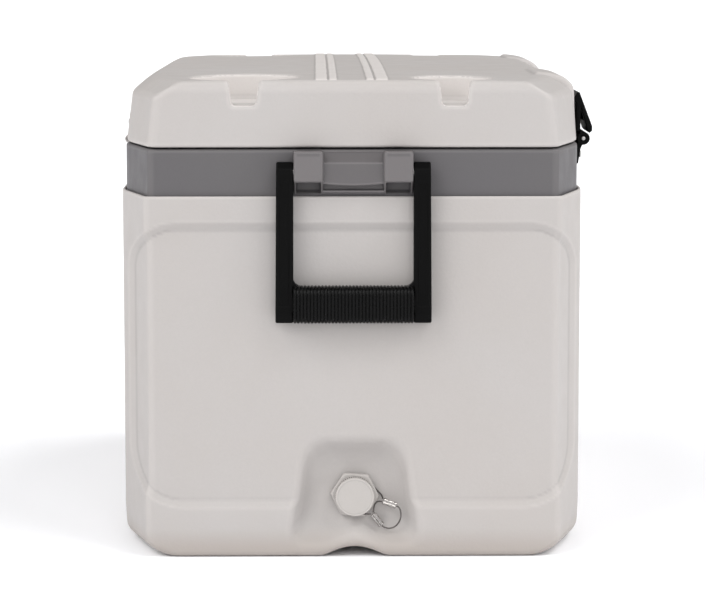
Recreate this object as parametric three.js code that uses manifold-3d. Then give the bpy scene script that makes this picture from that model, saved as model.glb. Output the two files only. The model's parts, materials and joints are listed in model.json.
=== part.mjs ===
// Cooler chest: an insulated tub with a hinged lid, two bail handles, two front latches and a drain.
// Units are millimetres. X runs from the hinge side (-) to the latch side (+), Y runs along the length
// with the drain at the -Y end, and Z is up. The origin is on the floor, under the middle of the tub.
// Pieces that meet face to face keep a small gap, so that every piece is a separate solid.
import * as THREE from 'three';
import { ConvexGeometry } from 'three/addons/geometries/ConvexGeometry.js';
import { mergeVertices } from 'three/addons/utils/BufferGeometryUtils.js';
import Module from 'manifold-3d';

const wasm = await Module();
wasm.setup();

// ---- driving dimensions ----
const HALF_LENGTH = 370;
const HALF_WIDTH = 225;
const CORNER_IN = 27; // each upright corner is an angled panel: this deep in X
const CORNER_LONG = 92; // and this long in Y
const GAP = 0.3;

const SHELL_TOP = 348;
const SHELL_WALL = 4.5;
const SHELL_LIP = 3.5;
const LIP_BOTTOM = 335;
const FLOOR_WALL = 4;
const FOOT_ROUND = 12;
const FOOT_INSET = 4;
const CORNER_LIFT = { x: 0.63, y: 0.1955, start: 184 }; // slopes of the underside near each corner

const PANEL_DEPTH = 4; // recessed panels, one on each end and one on each side
const END_PANEL_HALF = 214;
const SIDE_PANEL_HALF = 266;
const PANEL_BOTTOM = 52;
const PANEL_TOP = 319;
const PANEL_CORNER = 50;
const PANEL_ROOM = 2.5; // how far the inside of the wall is drawn in behind the panels

const COLLAR_STEP = 3.8; // how far the collar stands inside the shell's face
const COLLAR_WALL = 5;
const COLLAR_BOTTOM = 340;
const COLLAR_TOP = 392;
const DECK = 3.5; // thickness of the collar's and the liner's top flanges

const LINER_HALF = { x: 172, y: 312, corner: 35 }; // food space at the mouth
const LINER_WALL = 3;
const LINER_FLOOR = 40;
const FLANGE_OUT = 27.5; // width of the liner's flange outside its mouth

const LID_BOTTOM = 393.4;
const LID_WALL = 4.5;
const LID_EDGE_TOP = 455.5;
const LID_CROWN = 4;
const LID_SIDE_TOP = 442;
const PLUG_BOTTOM = 381;

const DRAIN = { x: 1.5, z: 58.5 };
const POCKET_BACK = 350; // distance of the drain pocket's back wall from the middle
const SPOUT_RADIUS = 12.8;
const SPOUT_HOLE = 13.2;
const CABLE_RADIUS = 0.75;

const HANDLE_PIVOT = { out: 378, z: 372 };
const HANDLE_ARM = { inner: 57.5, outer: 73 };
const PIN_RADIUS = 4.5;

const HINGE_AXIS = { x: -221.5, z: 392.7 };
const HINGE_PLACES = { rear_left: -190, rear_right: 190 };
const HINGE_HALF = 30;

const LATCH_AXIS = { x: 229.5, z: 394 };
const LATCH_PLACES = { near: -210, far: 210 };
const LATCH_HALF = 32;

// ---- materials ----
const material = (color, roughness, metalness = 0) =>
  new THREE.MeshStandardMaterial({ color, roughness, metalness });
const SHELL_WHITE = material(0xd6d1ce, 0.55);
const COLLAR_GREY = material(0x77777a, 0.35);
const LINER_WHITE = material(0xe6e4e0, 0.4);
const FOAM = material(0xe8d9a8, 0.9);
const BLACK_PLASTIC = material(0x1c1c1d, 0.5);
const GRIP_RUBBER = material(0x202021, 0.6);
const DRAIN_WHITE = material(0xdedad6, 0.45);
const SEAL_RUBBER = material(0x2b2b2b, 0.8);
const STEEL = material(0xa8a8aa, 0.3, 1);

// ---- solids ----
function solid(geometry) {
  const bare = geometry.clone();
  bare.deleteAttribute('normal');
  bare.deleteAttribute('uv');
  const merged = mergeVertices(bare, 1e-4);
  return new wasm.Manifold(new wasm.Mesh({
    numProp: 3,
    vertProperties: new Float32Array(merged.attributes.position.array),
    triVerts: new Uint32Array(merged.index.array),
  }));
}

function geometryOf(body) {
  const mesh = body.getMesh();
  const geometry = new THREE.BufferGeometry();
  geometry.setAttribute('position', new THREE.BufferAttribute(mesh.vertProperties, 3));
  geometry.setIndex(new THREE.BufferAttribute(mesh.triVerts, 1));
  geometry.computeVertexNormals();
  return geometry;
}

const joined = (bodies) => bodies.reduce((whole, body) => whole.add(body));
const cutBy = (body, tools) => tools.reduce((left, tool) => left.subtract(tool), body);
const hull = (points) => solid(new ConvexGeometry(points.map((p) => new THREE.Vector3(...p))));
const turnedRound = (body) => body.rotate([0, 0, 180]);

function extruded(outline, depth) {
  const shape = new THREE.Shape(outline.map(([a, b]) => new THREE.Vector2(a, b)));
  return new THREE.ExtrudeGeometry(shape, { depth, bevelEnabled: false, steps: 1 });
}

// A prism from an (x, y) outline, an (x, z) outline or a (y, z) outline.
const prismZ = (outline, z0, z1) => solid(extruded(outline, z1 - z0).translate(0, 0, z0));

function prismY(outline, y0, y1) {
  return solid(extruded(outline, y1 - y0).rotateX(Math.PI / 2).translate(0, y1, 0));
}

function prismX(outline, x0, x1) {
  const axes = new THREE.Matrix4().makeBasis(
    new THREE.Vector3(0, 1, 0), new THREE.Vector3(0, 0, 1), new THREE.Vector3(1, 0, 0));
  return solid(extruded(outline, x1 - x0).applyMatrix4(axes).translate(x0, 0, 0));
}

const block = (x0, x1, y0, y1, z0, z1) => prismZ([[x0, y0], [x1, y0], [x1, y1], [x0, y1]], z0, z1);

function rodX(radius, x0, x1, y, z, sides = 16) {
  const rod = new THREE.CylinderGeometry(radius, radius, x1 - x0, sides).rotateZ(Math.PI / 2);
  return solid(rod.translate((x0 + x1) / 2, y, z));
}

function rodY(radius, y0, y1, x, z, sides = 16) {
  const rod = new THREE.CylinderGeometry(radius, radius, y1 - y0, sides);
  return solid(rod.translate(x, (y0 + y1) / 2, z));
}

// A rod along the drain's axis, placed by how far its ends are from the middle of the chest.
const drainRod = (radius, near, far, sides = 24) => rodY(radius, -far, -near, DRAIN.x, DRAIN.z, sides);

function roundedOutline(halfX, halfY, corner, steps = 4) {
  const outline = [];
  for (const [sx, sy, start] of [[1, 1, 0], [-1, 1, 90], [-1, -1, 180], [1, -1, 270]]) {
    for (let i = 0; i <= steps; i += 1) {
      const angle = THREE.MathUtils.degToRad(start + (90 * i) / steps);
      outline.push([sx * (halfX - corner) + corner * Math.cos(angle),
        sy * (halfY - corner) + corner * Math.sin(angle)]);
    }
  }
  return outline;
}

// The chest's plan: a rectangle with an angled panel at each corner, drawn in by inset on every side.
function chestOutline(inset, halfWidth = HALF_WIDTH, halfLength = HALF_LENGTH) {
  const panel = Math.hypot(CORNER_IN, CORNER_LONG);
  const [nx, ny] = [CORNER_LONG / panel, CORNER_IN / panel];
  const endX = halfWidth - CORNER_IN - (inset * (1 - ny)) / nx;
  const sideY = halfLength - CORNER_LONG - (inset * (1 - nx)) / ny;
  const [x, y] = [halfWidth - inset, halfLength - inset];
  return [[x, -sideY], [x, sideY], [endX, y], [-endX, y],
    [-x, sideY], [-x, -sideY], [-endX, -y], [endX, -y]];
}

const ring = (outline, z) => outline.map(([x, y]) => [x, y, z]);

// ---- body ----
const chestBlock = () => hull([
  ...ring(chestOutline(FOOT_INSET), 0),
  ...ring(chestOutline(FOOT_INSET * 0.4), FOOT_ROUND * 0.4),
  ...ring(chestOutline(0), FOOT_ROUND),
  ...ring(chestOutline(0), SHELL_TOP),
]);

// The underside rises towards the corners: these take away what is under each of the four slopes.
function cornerLifts(grow) {
  const height = (x, y) => CORNER_LIFT.x * x + CORNER_LIFT.y * y - CORNER_LIFT.start + grow;
  const corners = [[150, 190], [150, 390], [240, 190], [240, 390]];
  const wedge = hull(corners.flatMap(([x, y]) => [[x, y, height(x, y)], [x, y, -90]]));
  return [wedge, wedge.mirror([1, 0, 0]), wedge.mirror([0, 1, 0]), turnedRound(wedge)];
}

// The pocket that the drain sits in, with a sloping ceiling and an apron that runs out at the foot.
function drainPocket(grow) {
  const front = HALF_LENGTH + 3;
  const back = POCKET_BACK - grow;
  const corner = (half, out, z) => [[DRAIN.x - half, -out, z], [DRAIN.x + half, -out, z]];
  return hull([
    ...corner(44 + grow, front, 122 + grow), ...corner(36 + grow, back, 95 + grow),
    ...corner(47 + grow, back, 34 - grow), ...corner(62 + grow, front, 8 - grow),
  ]);
}

// The shallow arch under the drain, which fades out towards the middle of the chest.
function footArch(grow) {
  const steps = 8;
  const arch = [];
  for (let i = 0; i <= steps; i += 1) {
    const t = (2 * i) / steps - 1;
    arch.push([DRAIN.x + t * (28 + grow), -HALF_LENGTH - 3, (10 + grow) * (1 - t * t)]);
  }
  return hull([...arch, [DRAIN.x - 28, -HALF_LENGTH - 3, -5], [DRAIN.x + 28, -HALF_LENGTH - 3, -5],
    [DRAIN.x - 12, -HALF_LENGTH + 60, -1], [DRAIN.x + 12, -HALF_LENGTH + 60, -1]]);
}

// The recesses in the walls. Those on the ends lap onto the corner panels.
function wallPanels() {
  const halfHeight = (PANEL_TOP - PANEL_BOTTOM) / 2;
  const frame = (half) => roundedOutline(half, halfHeight, PANEL_CORNER)
    .map(([along, z]) => [along, z + PANEL_BOTTOM + halfHeight]);
  const core = prismZ(chestOutline(PANEL_DEPTH), -1, SHELL_TOP + 1);
  const [endFrame, sideFrame] = [frame(END_PANEL_HALF), frame(SIDE_PANEL_HALF)];
  return [
    prismY(endFrame, -HALF_LENGTH - 5, -HALF_LENGTH + 80),
    prismY(endFrame, HALF_LENGTH - 80, HALF_LENGTH + 5),
    prismX(sideFrame, -HALF_WIDTH - 5, -HALF_WIDTH + 10),
    prismX(sideFrame, HALF_WIDTH - 10, HALF_WIDTH + 5),
  ].map((band) => band.subtract(core));
}

// The space inside the shell. The insulation fills it, drawn in by gap.
function shellSpace(gap) {
  const inset = SHELL_WALL + gap;
  const walls = chestOutline(inset, HALF_WIDTH - PANEL_ROOM, HALF_LENGTH - PANEL_ROOM);
  const low = prismZ(walls, FLOOR_WALL + 2 + gap, LIP_BOTTOM - gap);
  const feet = hull([
    ...ring(chestOutline(inset + FOOT_ROUND, HALF_WIDTH, HALF_LENGTH - 10), FLOOR_WALL + gap),
    ...ring(chestOutline(inset + 6, HALF_WIDTH, HALF_LENGTH - 6), FLOOR_WALL + 8 + gap),
  ]);
  const space = low.subtract(block(-300, 300, -400, 400, 0, FLOOR_WALL + 8 + gap)).add(feet);
  const slopedFloor = cornerLifts(1.2 * FLOOR_WALL + gap);
  return cutBy(space, [drainPocket(SHELL_WALL + gap), footArch(FLOOR_WALL + gap), ...slopedFloor]);
}

function outerShell() {
  const lipSpace = prismZ(chestOutline(SHELL_LIP), LIP_BOTTOM - 1, SHELL_TOP + 1);
  return cutBy(chestBlock(), [...wallPanels(), ...cornerLifts(0), shellSpace(0), lipSpace,
    drainPocket(0), footArch(0), drainRod(SPOUT_HOLE, POCKET_BACK - 20, POCKET_BACK + 5)]);
}

const linerOutline = (grow) =>
  roundedOutline(LINER_HALF.x + grow, LINER_HALF.y + grow, LINER_HALF.corner + grow);

function insulationCore() {
  const inset = COLLAR_STEP + COLLAR_WALL + GAP;
  const upper = prismZ(chestOutline(inset), LIP_BOTTOM - 4, COLLAR_TOP - DECK - 2 * GAP);
  const tub = prismZ(linerOutline(LINER_WALL + GAP), LINER_FLOOR - LINER_WALL - GAP, COLLAR_TOP);
  return cutBy(shellSpace(GAP).add(upper), [tub, drainRod(SPOUT_HOLE, 300, POCKET_BACK)]);
}

function innerLiner() {
  const tub = prismZ(linerOutline(LINER_WALL), LINER_FLOOR - LINER_WALL, COLLAR_TOP);
  const flange = prismZ(linerOutline(FLANGE_OUT), COLLAR_TOP - DECK, COLLAR_TOP);
  return cutBy(tub.add(flange), [prismZ(linerOutline(0), LINER_FLOOR, COLLAR_TOP + 1),
    drainRod(SPOUT_HOLE, 300, 330)]);
}

function rimCollar() {
  const band = prismZ(chestOutline(COLLAR_STEP), COLLAR_BOTTOM, COLLAR_TOP);
  const inside = prismZ(chestOutline(COLLAR_STEP + COLLAR_WALL), COLLAR_BOTTOM - 1, COLLAR_TOP - DECK);
  const mouth = prismZ(linerOutline(FLANGE_OUT + GAP), COLLAR_TOP - DECK - 1, COLLAR_TOP + 1);
  const hinges = Object.values(HINGE_PLACES).flatMap((y) => [
    block(-240, HINGE_AXIS.x + 2.9, y - HINGE_HALF - GAP, y + HINGE_HALF + GAP, 365.7, COLLAR_TOP + 1),
    rodY(4.6, y - HINGE_HALF - GAP, y + HINGE_HALF + GAP, HINGE_AXIS.x, HINGE_AXIS.z),
    ...[-18, 18].map((side) => rodX(1.8, -225, -214, y + side, 374, 10)),
  ]);
  const latches = Object.values(LATCH_PLACES).flatMap((y) =>
    [-20, 20].map((side) => rodX(1.9, 214, 225, y + side, 378, 10)));
  return cutBy(band, [inside, mouth, ...hinges, ...latches]);
}

// ---- handles ----
// Profiles are in (outward, z), where outward is the distance from the middle of the chest.
const nearEnd = (profile) => profile.map(([out, z]) => [-out, z]).reverse();

function handleBracket() {
  const face = HALF_LENGTH - COLLAR_STEP + GAP;
  const plate = block(-56.4, 56.4, -face - 2, -face, 350, 391);
  const blockProfile = [[face, 350], [370, 350], [386, 363], [386, 388.5], [383.5, 391], [face, 391]];
  const hollowProfile = [[368.6, 349], [372.5, 349], [384, 361], [384, 386], [368.6, 388]];
  const barProfile = [[face, 391], [face, 386], [377.8, 377.8], [377.8, 358.5], [380, 358.5], [380, 380]];
  const blocks = [-1, 1].map((side) => {
    const [x0, x1] = [28.7 * side, 56.4 * side].sort((a, b) => a - b);
    const whole = prismX(nearEnd(blockProfile), x0, x1);
    return cutBy(whole, [prismX(nearEnd(hollowProfile), x0 + 2.2, x1 - 2.2),
      rodX(PIN_RADIUS + GAP, side > 0 ? 45 : -60, side > 0 ? 60 : -45, -HANDLE_PIVOT.out, HANDLE_PIVOT.z)]);
  });
  const bar = prismX(nearEnd(barProfile), -29, 29);
  const rib = block(-29, 29, -372, -face, 351.5, 353.5);
  return joined([plate, ...blocks, bar, rib]);
}

const handlePin = (side) => {
  const [x0, x1] = [47 * side, 71.5 * side].sort((a, b) => a - b);
  return rodX(PIN_RADIUS, x0, x1, -HANDLE_PIVOT.out, HANDLE_PIVOT.z);
};

function handleBail() {
  const armProfile = [[371.2, 230], [373, 228.2], [385, 228.2], [385, 379], [383.4, 380.6],
    [372.8, 380.6], [371.2, 379]];
  const arms = [-1, 1].map((side) => {
    const [x0, x1] = [HANDLE_ARM.inner * side, HANDLE_ARM.outer * side].sort((a, b) => a - b);
    return prismX(nearEnd(armProfile), x0, x1)
      .subtract(rodX(PIN_RADIUS + GAP, x0 - 1, x1 + 1, -HANDLE_PIVOT.out, HANDLE_PIVOT.z));
  });
  return joined([...arms, block(-58, 58, -385, -375, 238, 254)]);
}

function handleGrip() {
  const outline = roundedOutline(11.6, 18, 9).map(([y, z]) => [y - 380.8, z + 246]);
  return prismX(outline, -HANDLE_ARM.inner + GAP, HANDLE_ARM.inner - GAP)
    .subtract(block(-60, 60, -385 - GAP, -375 + GAP, 238 - GAP, 254 + GAP));
}

// ---- drain ----
function drainSpout() {
  const flange = new THREE.CylinderGeometry(23.7, 23.7, 5, 6);
  flange.rotateY(THREE.MathUtils.degToRad(33.75));
  flange.translate(DRAIN.x, -356.9, DRAIN.z);
  return drainRod(SPOUT_RADIUS, 301, 365.5).add(solid(flange)).subtract(drainRod(9.5, 290, 380));
}

function drainLockNut() {
  const nut = new THREE.CylinderGeometry(20.8, 20.8, 8.6, 6);
  nut.rotateY(Math.PI / 6);
  nut.translate(DRAIN.x, -307.3, DRAIN.z);
  return solid(nut).subtract(drainRod(SPOUT_HOLE, 300, 330));
}

const drainWasher = () => drainRod(19, POCKET_BACK + GAP, 352).subtract(drainRod(SPOUT_HOLE, 340, 360));

function drainCap() {
  const skirt = drainRod(18, 360, 371, 36);
  const groove = drainRod(19, 361.6, 363.8, 36).subtract(drainRod(16.2, 361, 364, 36));
  return cutBy(skirt, [groove, drainRod(SPOUT_HOLE, 350, 368)]);
}

const drainCapSeal = () => drainRod(12.6, 365.9, 367.6).subtract(drainRod(9.5, 360, 370));

// ---- tether ----
// Points are (x, outward, z). The cable leaves the first ferrule, sags, and rises into the second.
const CABLE_ROUTE = [[42, 361.6, 48.3], [44.3, 361.7, 46.1], [45.5, 361.9, 43.2], [45.8, 362.1, 40],
  [45.5, 362.3, 36.7], [44.4, 362.5, 33.5], [42.5, 362.7, 30.6], [40, 362.9, 28.4],
  [37, 363, 27.1], [34, 363.1, 26.7], [31.4, 363.2, 27.3], [29.3, 363.2, 28.2], [27.6, 363.2, 29.5]];
// The short strand between the other ends of the ferrules, beside the cap.
const BRIDGE_ROUTE = [[27.8, 361.6, 52.4], [25.3, 361.7, 52.9], [22.7, 361.9, 52.2], [20.8, 362.2, 50.1],
  [19.9, 362.5, 47.2], [19.6, 362.8, 44.7], [19.2, 363.2, 42.4]];
const FERRULES = {
  spout: { at: [35.1, 361.6, 50.8], slope: -20 },
  cap: { at: [23.1, 363.2, 35.3], slope: -52 },
};

const toPoint = ([x, out, z]) => new THREE.Vector3(x, -out, z);

function cableTube(points, steps) {
  const curve = new THREE.CatmullRomCurve3(points);
  const section = new THREE.Shape();
  for (let i = 0; i < 8; i += 1) {
    const angle = (i * Math.PI) / 4;
    const [a, b] = [CABLE_RADIUS * Math.cos(angle), CABLE_RADIUS * Math.sin(angle)];
    if (i === 0) section.moveTo(a, b);
    else section.lineTo(a, b);
  }
  return solid(new THREE.ExtrudeGeometry(section, { steps, extrudePath: curve, bevelEnabled: false }));
}

const tetherCable = () => cableTube(CABLE_ROUTE.map(toPoint), 14);
const tetherBridge = () => cableTube(BRIDGE_ROUTE.map(toPoint), 8);

function ferrule({ at, slope }) {
  const sleeve = new THREE.CylinderGeometry(2.5, 2.5, 14, 12);
  sleeve.rotateZ(Math.PI / 2).rotateY(THREE.MathUtils.degToRad(-slope));
  const centre = toPoint(at);
  return solid(sleeve.translate(centre.x, centre.y, centre.z));
}

// A loop around the drain's axis, turning from startAngle, whose tail runs out to a ferrule.
function eyeLoop(radius, out, tail, startAngle, turn) {
  const loop = [];
  const steps = 14;
  for (let i = 0; i <= steps; i += 1) {
    const angle = THREE.MathUtils.degToRad(startAngle + (turn * i) / steps);
    loop.push([DRAIN.x + radius * Math.cos(angle), out, DRAIN.z + radius * Math.sin(angle)]);
  }
  return cableTube([...loop, ...tail].map(toPoint), 34);
}

const SPOUT_TAIL = [[19.4, 353.2, 65.8], [22.6, 353.4, 62.6], [26.4, 355.6, 59], [28, 358.8, 56.9],
  [28.2, 360.8, 55.2]];
const CAP_TAIL = [[5, 362.7, 41], [11, 362.9, 40.8], [17.2, 363.2, 40.6]];
const spoutEye = () => eyeLoop(18.4, 353.2, SPOUT_TAIL, 360, -325);
const capEye = () => eyeLoop(17.2, 362.7, CAP_TAIL, -60, 326);

// ---- lid ----
// The lid's outside, drawn in by inset: flared sides, a sloping shoulder and a slightly crowned top.
function lidBlock(inset, bottom) {
  const top = [];
  const [halfX, halfY] = [193.5 - inset * 0.8, 362 - inset];
  for (const v of [-1, -0.5, 0, 0.5, 1]) {
    for (const u of [-1, -0.9, 0, 0.9, 1]) {
      const z = LID_EDGE_TOP + LID_CROWN * (1 - v * v) - 1.5 * u * u + 1.5 - inset;
      const corner = Math.abs(v) === 1 && Math.abs(u) === 1;
      top.push([u * halfX * (corner ? 0.9 : 1), v * halfY, corner ? z - 1 : z]);
    }
  }
  return hull([
    ...ring(chestOutline(inset + 1.5, 220.5, 369), bottom),
    ...ring(chestOutline(inset, 220.5, 369), bottom + 4),
    ...ring(chestOutline(inset, 215, 368), LID_SIDE_TOP - inset),
    ...ring(chestOutline(inset, 209, 366), LID_SIDE_TOP + 8 - inset),
    ...top,
  ]);
}

// The two humps on the front shoulder, which the latches pull down on.
function latchHump(y) {
  const side = (half, x, z) => [[x, y - half, z], [x, y + half, z]];
  return hull([...side(60, 200, 405), ...side(60, 217.5, 405), ...side(58, 217.5, 440),
    ...side(56, 213.5, 449), ...side(54, 206, 454.5), ...side(52, 192, 456.8), ...side(52, 180, 440)]);
}

const stripZ = (y) => LID_EDGE_TOP + 1.5 + LID_CROWN * (1 - (y / 362) ** 2) + 1.2;

function topStrip(x0, x1) {
  const stations = [-360, -270, -180, -90, 0, 90, 180, 270, 360];
  const upper = stations.map((y) => [y, stripZ(y)]);
  return prismX([[360, 449], ...upper.reverse(), [-360, 449]].reverse(), x0, x1);
}

const CUP_FLOOR = 434;
const CUP_HOLDERS = ['near', 'far'].flatMap((end) => [
  { end, x: -104, radius: 54, inward: 64, notch: -103.5 },
  { end, x: 95.5, radius: 40, inward: 50, notch: 96 },
]);

// One cup holder with the channel that lets it drain over the end of the lid.
function cupHolder(cup, grow) {
  const floor = CUP_FLOOR - grow;
  const bowl = new THREE.CylinderGeometry(cup.radius + grow, cup.radius - 4 + grow, 40, 32);
  bowl.rotateX(Math.PI / 2).translate(cup.x, -HALF_LENGTH + cup.inward, floor + 20);
  const mouth = (half, out, z) => [[cup.notch - half, -out, z], [cup.notch + half, -out, z]];
  const [wide, narrow, low] = [16.5 + grow, 11.5 + grow, 433 - grow];
  const channel = hull([...mouth(wide, 374, 470), ...mouth(narrow, 374, low),
    ...mouth(wide, 345, 470), ...mouth(narrow, 361 - grow, low), ...mouth(13, 345, floor)]);
  const both = solid(bowl).add(channel);
  return cup.end === 'near' ? both : both.mirror([0, 1, 0]);
}

function lidHingeCuts() {
  return Object.values(HINGE_PLACES).flatMap((y) => [
    block(-240, -217.3, y - HINGE_HALF - GAP, y + HINGE_HALF + GAP, LID_BOTTOM - 1, 418.3),
    rodY(4.6, y - HINGE_HALF - GAP, y + HINGE_HALF + GAP, HINGE_AXIS.x, HINGE_AXIS.z),
    ...[-18, 18].map((side) => rodX(1.8, -225, -212, y + side, 409, 10)),
  ]);
}

const TOP_STRIPS = [[-35.7, -24.9], [-22.5, -15.6], [12.8, 19.4], [21.7, 33]];

function lidShell() {
  const cups = (grow) => CUP_HOLDERS.map((cup) => cupHolder(cup, grow));
  const strips = TOP_STRIPS.map(([x0, x1]) => topStrip(x0, x1));
  const humps = Object.values(LATCH_PLACES).map(latchHump);
  const outside = joined([lidBlock(0, LID_BOTTOM), ...humps, ...strips]);
  const inside = cutBy(lidBlock(LID_WALL, LID_BOTTOM - 3), cups(LID_WALL));
  return cutBy(outside, [inside, ...cups(0), ...lidHingeCuts()]);
}

const SLAB = { bottom: 393.8, top: 396.8 };
const PLUG = { x: 165, y: 305, corner: 28 };
const plugOutline = (grow) => roundedOutline(PLUG.x + grow, PLUG.y + grow, PLUG.corner + grow);

function lidInsulation() {
  const above = lidBlock(LID_WALL + GAP, LID_BOTTOM - 3)
    .subtract(block(-300, 300, -400, 400, 300, SLAB.top + GAP));
  const plug = prismZ(plugOutline(-3 - GAP), PLUG_BOTTOM + 3 + GAP, SLAB.top + 1);
  return cutBy(above.add(plug), CUP_HOLDERS.map((cup) => cupHolder(cup, LID_WALL + GAP)));
}

const gasketRing = (grow, z0, z1) =>
  prismZ(plugOutline(15 + grow), z0, z1).subtract(prismZ(plugOutline(8.5 - grow), z0 - 1, z1 + 1));

function lidLiner() {
  const slab = lidBlock(LID_WALL + 2 * GAP, LID_BOTTOM - 3)
    .intersect(block(-300, 300, -400, 400, SLAB.bottom, SLAB.top));
  const plug = prismZ(plugOutline(0), PLUG_BOTTOM, SLAB.top);
  return cutBy(slab.add(plug), [prismZ(plugOutline(-3), PLUG_BOTTOM + 3, SLAB.top + 1),
    gasketRing(GAP, SLAB.bottom - 1, 395.5)]);
}

const lidGasket = () => gasketRing(0, COLLAR_TOP + GAP, 395.2);

// ---- hinges ----
const knuckle = (y0, y1) => rodY(4, y0, y1, HINGE_AXIS.x, HINGE_AXIS.z);
const hingeBore = (y) => rodY(1.9, y - 40, y + 40, HINGE_AXIS.x, HINGE_AXIS.z, 12);
const screwHoles = (y, z) => [-18, 18].map((side) => rodX(1.8, -230, -210, y + side, z, 10));

function bodyLeaf(y) {
  const plate = block(-221.6, -218.9, y - HINGE_HALF, y + HINGE_HALF, 366, 388);
  const ends = [[y - HINGE_HALF, y - 10.2], [y + 10.2, y + HINGE_HALF]].flatMap(([y0, y1]) => [
    block(-221.6, -218.9, y0, y1, 387, HINGE_AXIS.z), knuckle(y0, y1)]);
  return cutBy(joined([plate, ...ends]), [hingeBore(y), ...screwHoles(y, 374)]);
}

function lidLeaf(y) {
  const plate = block(-220.6, -217.6, y - HINGE_HALF, y + HINGE_HALF, 397.2, 418);
  const strap = block(-220.6, -217.6, y - 9.9, y + 9.9, HINGE_AXIS.z, 398);
  return cutBy(joined([plate, strap, knuckle(y - 9.9, y + 9.9)]), [hingeBore(y), ...screwHoles(y, 409)]);
}

const hingePin = (y) => rodY(1.6, y - HINGE_HALF, y + HINGE_HALF, HINGE_AXIS.x, HINGE_AXIS.z, 12);

// A pan-head screw along X: head on the outside at x, shank running inwards.
function screw(x, inward, length, headRadius, y, z) {
  const head = [x, x - 1.4 * inward].sort((a, b) => a - b);
  const shank = [x - 1 * inward, x + length * inward].sort((a, b) => a - b);
  return rodX(headRadius, ...head, y, z, 14).add(rodX(1.5, ...shank, y, z, 8));
}

// ---- latches ----
function latchBase(y) {
  const foot = [[221.5, 369], [224.6, 369], [227.4, 387], [221.5, 387]];
  const web = [[221.5, 386], [227.2, 386], [230, 392], [229.5, 396], [224, 392]];
  const ends = [[y - LATCH_HALF, y - 12], [y + 12, y + LATCH_HALF]].flatMap(([y0, y1]) => [
    prismY(web, y0, y1), rodY(6.4, y0, y1, LATCH_AXIS.x, LATCH_AXIS.z)]);
  return cutBy(joined([prismY(foot, y - LATCH_HALF, y + LATCH_HALF), ...ends]), [
    rodY(2.3, y - 50, y + 50, LATCH_AXIS.x, LATCH_AXIS.z, 12),
    ...[-20, 20].map((side) => rodX(1.9, 210, 240, y + side, 378, 10))]);
}

function latchLever(y) {
  const flap = [[222.2, 401.2], [226.4, 401.2], [227, 424], [233.6, 401.4], [235.4, 399.2], [238.3, 401.5],
    [238.3, 406], [225.6, 439.5], [223, 440], [221.8, 437], [219.4, 434.5], [219.4, 431], [222, 429]];
  const strap = [[223.4, 394], [229.5, 394], [229, 402], [222.6, 402]];
  return joined([prismY(flap, y - LATCH_HALF, y + LATCH_HALF), prismY(strap, y - 11.7, y + 11.7),
    rodY(6.4, y - 11.7, y + 11.7, LATCH_AXIS.x, LATCH_AXIS.z)])
    .subtract(rodY(2.3, y - 50, y + 50, LATCH_AXIS.x, LATCH_AXIS.z, 12));
}

const latchPin = (y) => rodY(2, y - LATCH_HALF - 0.5, y + LATCH_HALF + 0.5, LATCH_AXIS.x, LATCH_AXIS.z, 12);

// ---- assembly ----
const chest = new THREE.Group();

function addPiece(name, body, finish) {
  const mesh = new THREE.Mesh(geometryOf(body), finish);
  mesh.name = name;
  chest.add(mesh);
}

function addBody() {
  addPiece('outer_shell', outerShell(), SHELL_WHITE);
  addPiece('insulation_core', insulationCore(), FOAM);
  addPiece('inner_liner', innerLiner(), LINER_WHITE);
  addPiece('rim_collar', rimCollar(), COLLAR_GREY);
}

function addHandles() {
  for (const [end, place] of [['near', (body) => body], ['far', turnedRound]]) {
    addPiece(`handle_bracket_${end}`, place(handleBracket()), COLLAR_GREY);
    addPiece(`handle_pin_${end}_left`, place(handlePin(-1)), STEEL);
    addPiece(`handle_pin_${end}_right`, place(handlePin(1)), STEEL);
    addPiece(`handle_bail_${end}`, place(handleBail()), BLACK_PLASTIC);
    addPiece(`handle_grip_${end}`, place(handleGrip()), GRIP_RUBBER);
  }
}

function addDrain() {
  addPiece('drain_spout', drainSpout(), DRAIN_WHITE);
  addPiece('drain_lock_nut', drainLockNut(), DRAIN_WHITE);
  addPiece('drain_washer', drainWasher(), SEAL_RUBBER);
  addPiece('drain_cap', drainCap(), DRAIN_WHITE);
  addPiece('drain_cap_seal', drainCapSeal(), SEAL_RUBBER);
  addPiece('tether_cable', tetherCable(), STEEL);
  addPiece('tether_bridge', tetherBridge(), STEEL);
  addPiece('tether_spout_eye', spoutEye(), STEEL);
  addPiece('tether_cap_eye', capEye(), STEEL);
  addPiece('tether_spout_ferrule', ferrule(FERRULES.spout), STEEL);
  addPiece('tether_cap_ferrule', ferrule(FERRULES.cap), STEEL);
}

function addLid() {
  addPiece('lid_shell', lidShell(), SHELL_WHITE);
  addPiece('lid_insulation', lidInsulation(), FOAM);
  addPiece('lid_liner', lidLiner(), LINER_WHITE);
  addPiece('lid_gasket', lidGasket(), SEAL_RUBBER);
}

function addHinges() {
  for (const [place, y] of Object.entries(HINGE_PLACES)) {
    addPiece(`hinge_body_leaf_${place}`, bodyLeaf(y), SHELL_WHITE);
    addPiece(`hinge_lid_leaf_${place}`, lidLeaf(y), SHELL_WHITE);
    addPiece(`hinge_pin_${place}`, hingePin(y), STEEL);
    for (const [end, side] of [['a', -18], ['b', 18]]) {
      addPiece(`hinge_body_screw_${place}_${end}`, screw(-221.9, 1, 5.2, 3, y + side, 374), STEEL);
      addPiece(`hinge_lid_screw_${place}_${end}`, screw(-220.9, 1, 6, 3, y + side, 409), STEEL);
    }
  }
}

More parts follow.
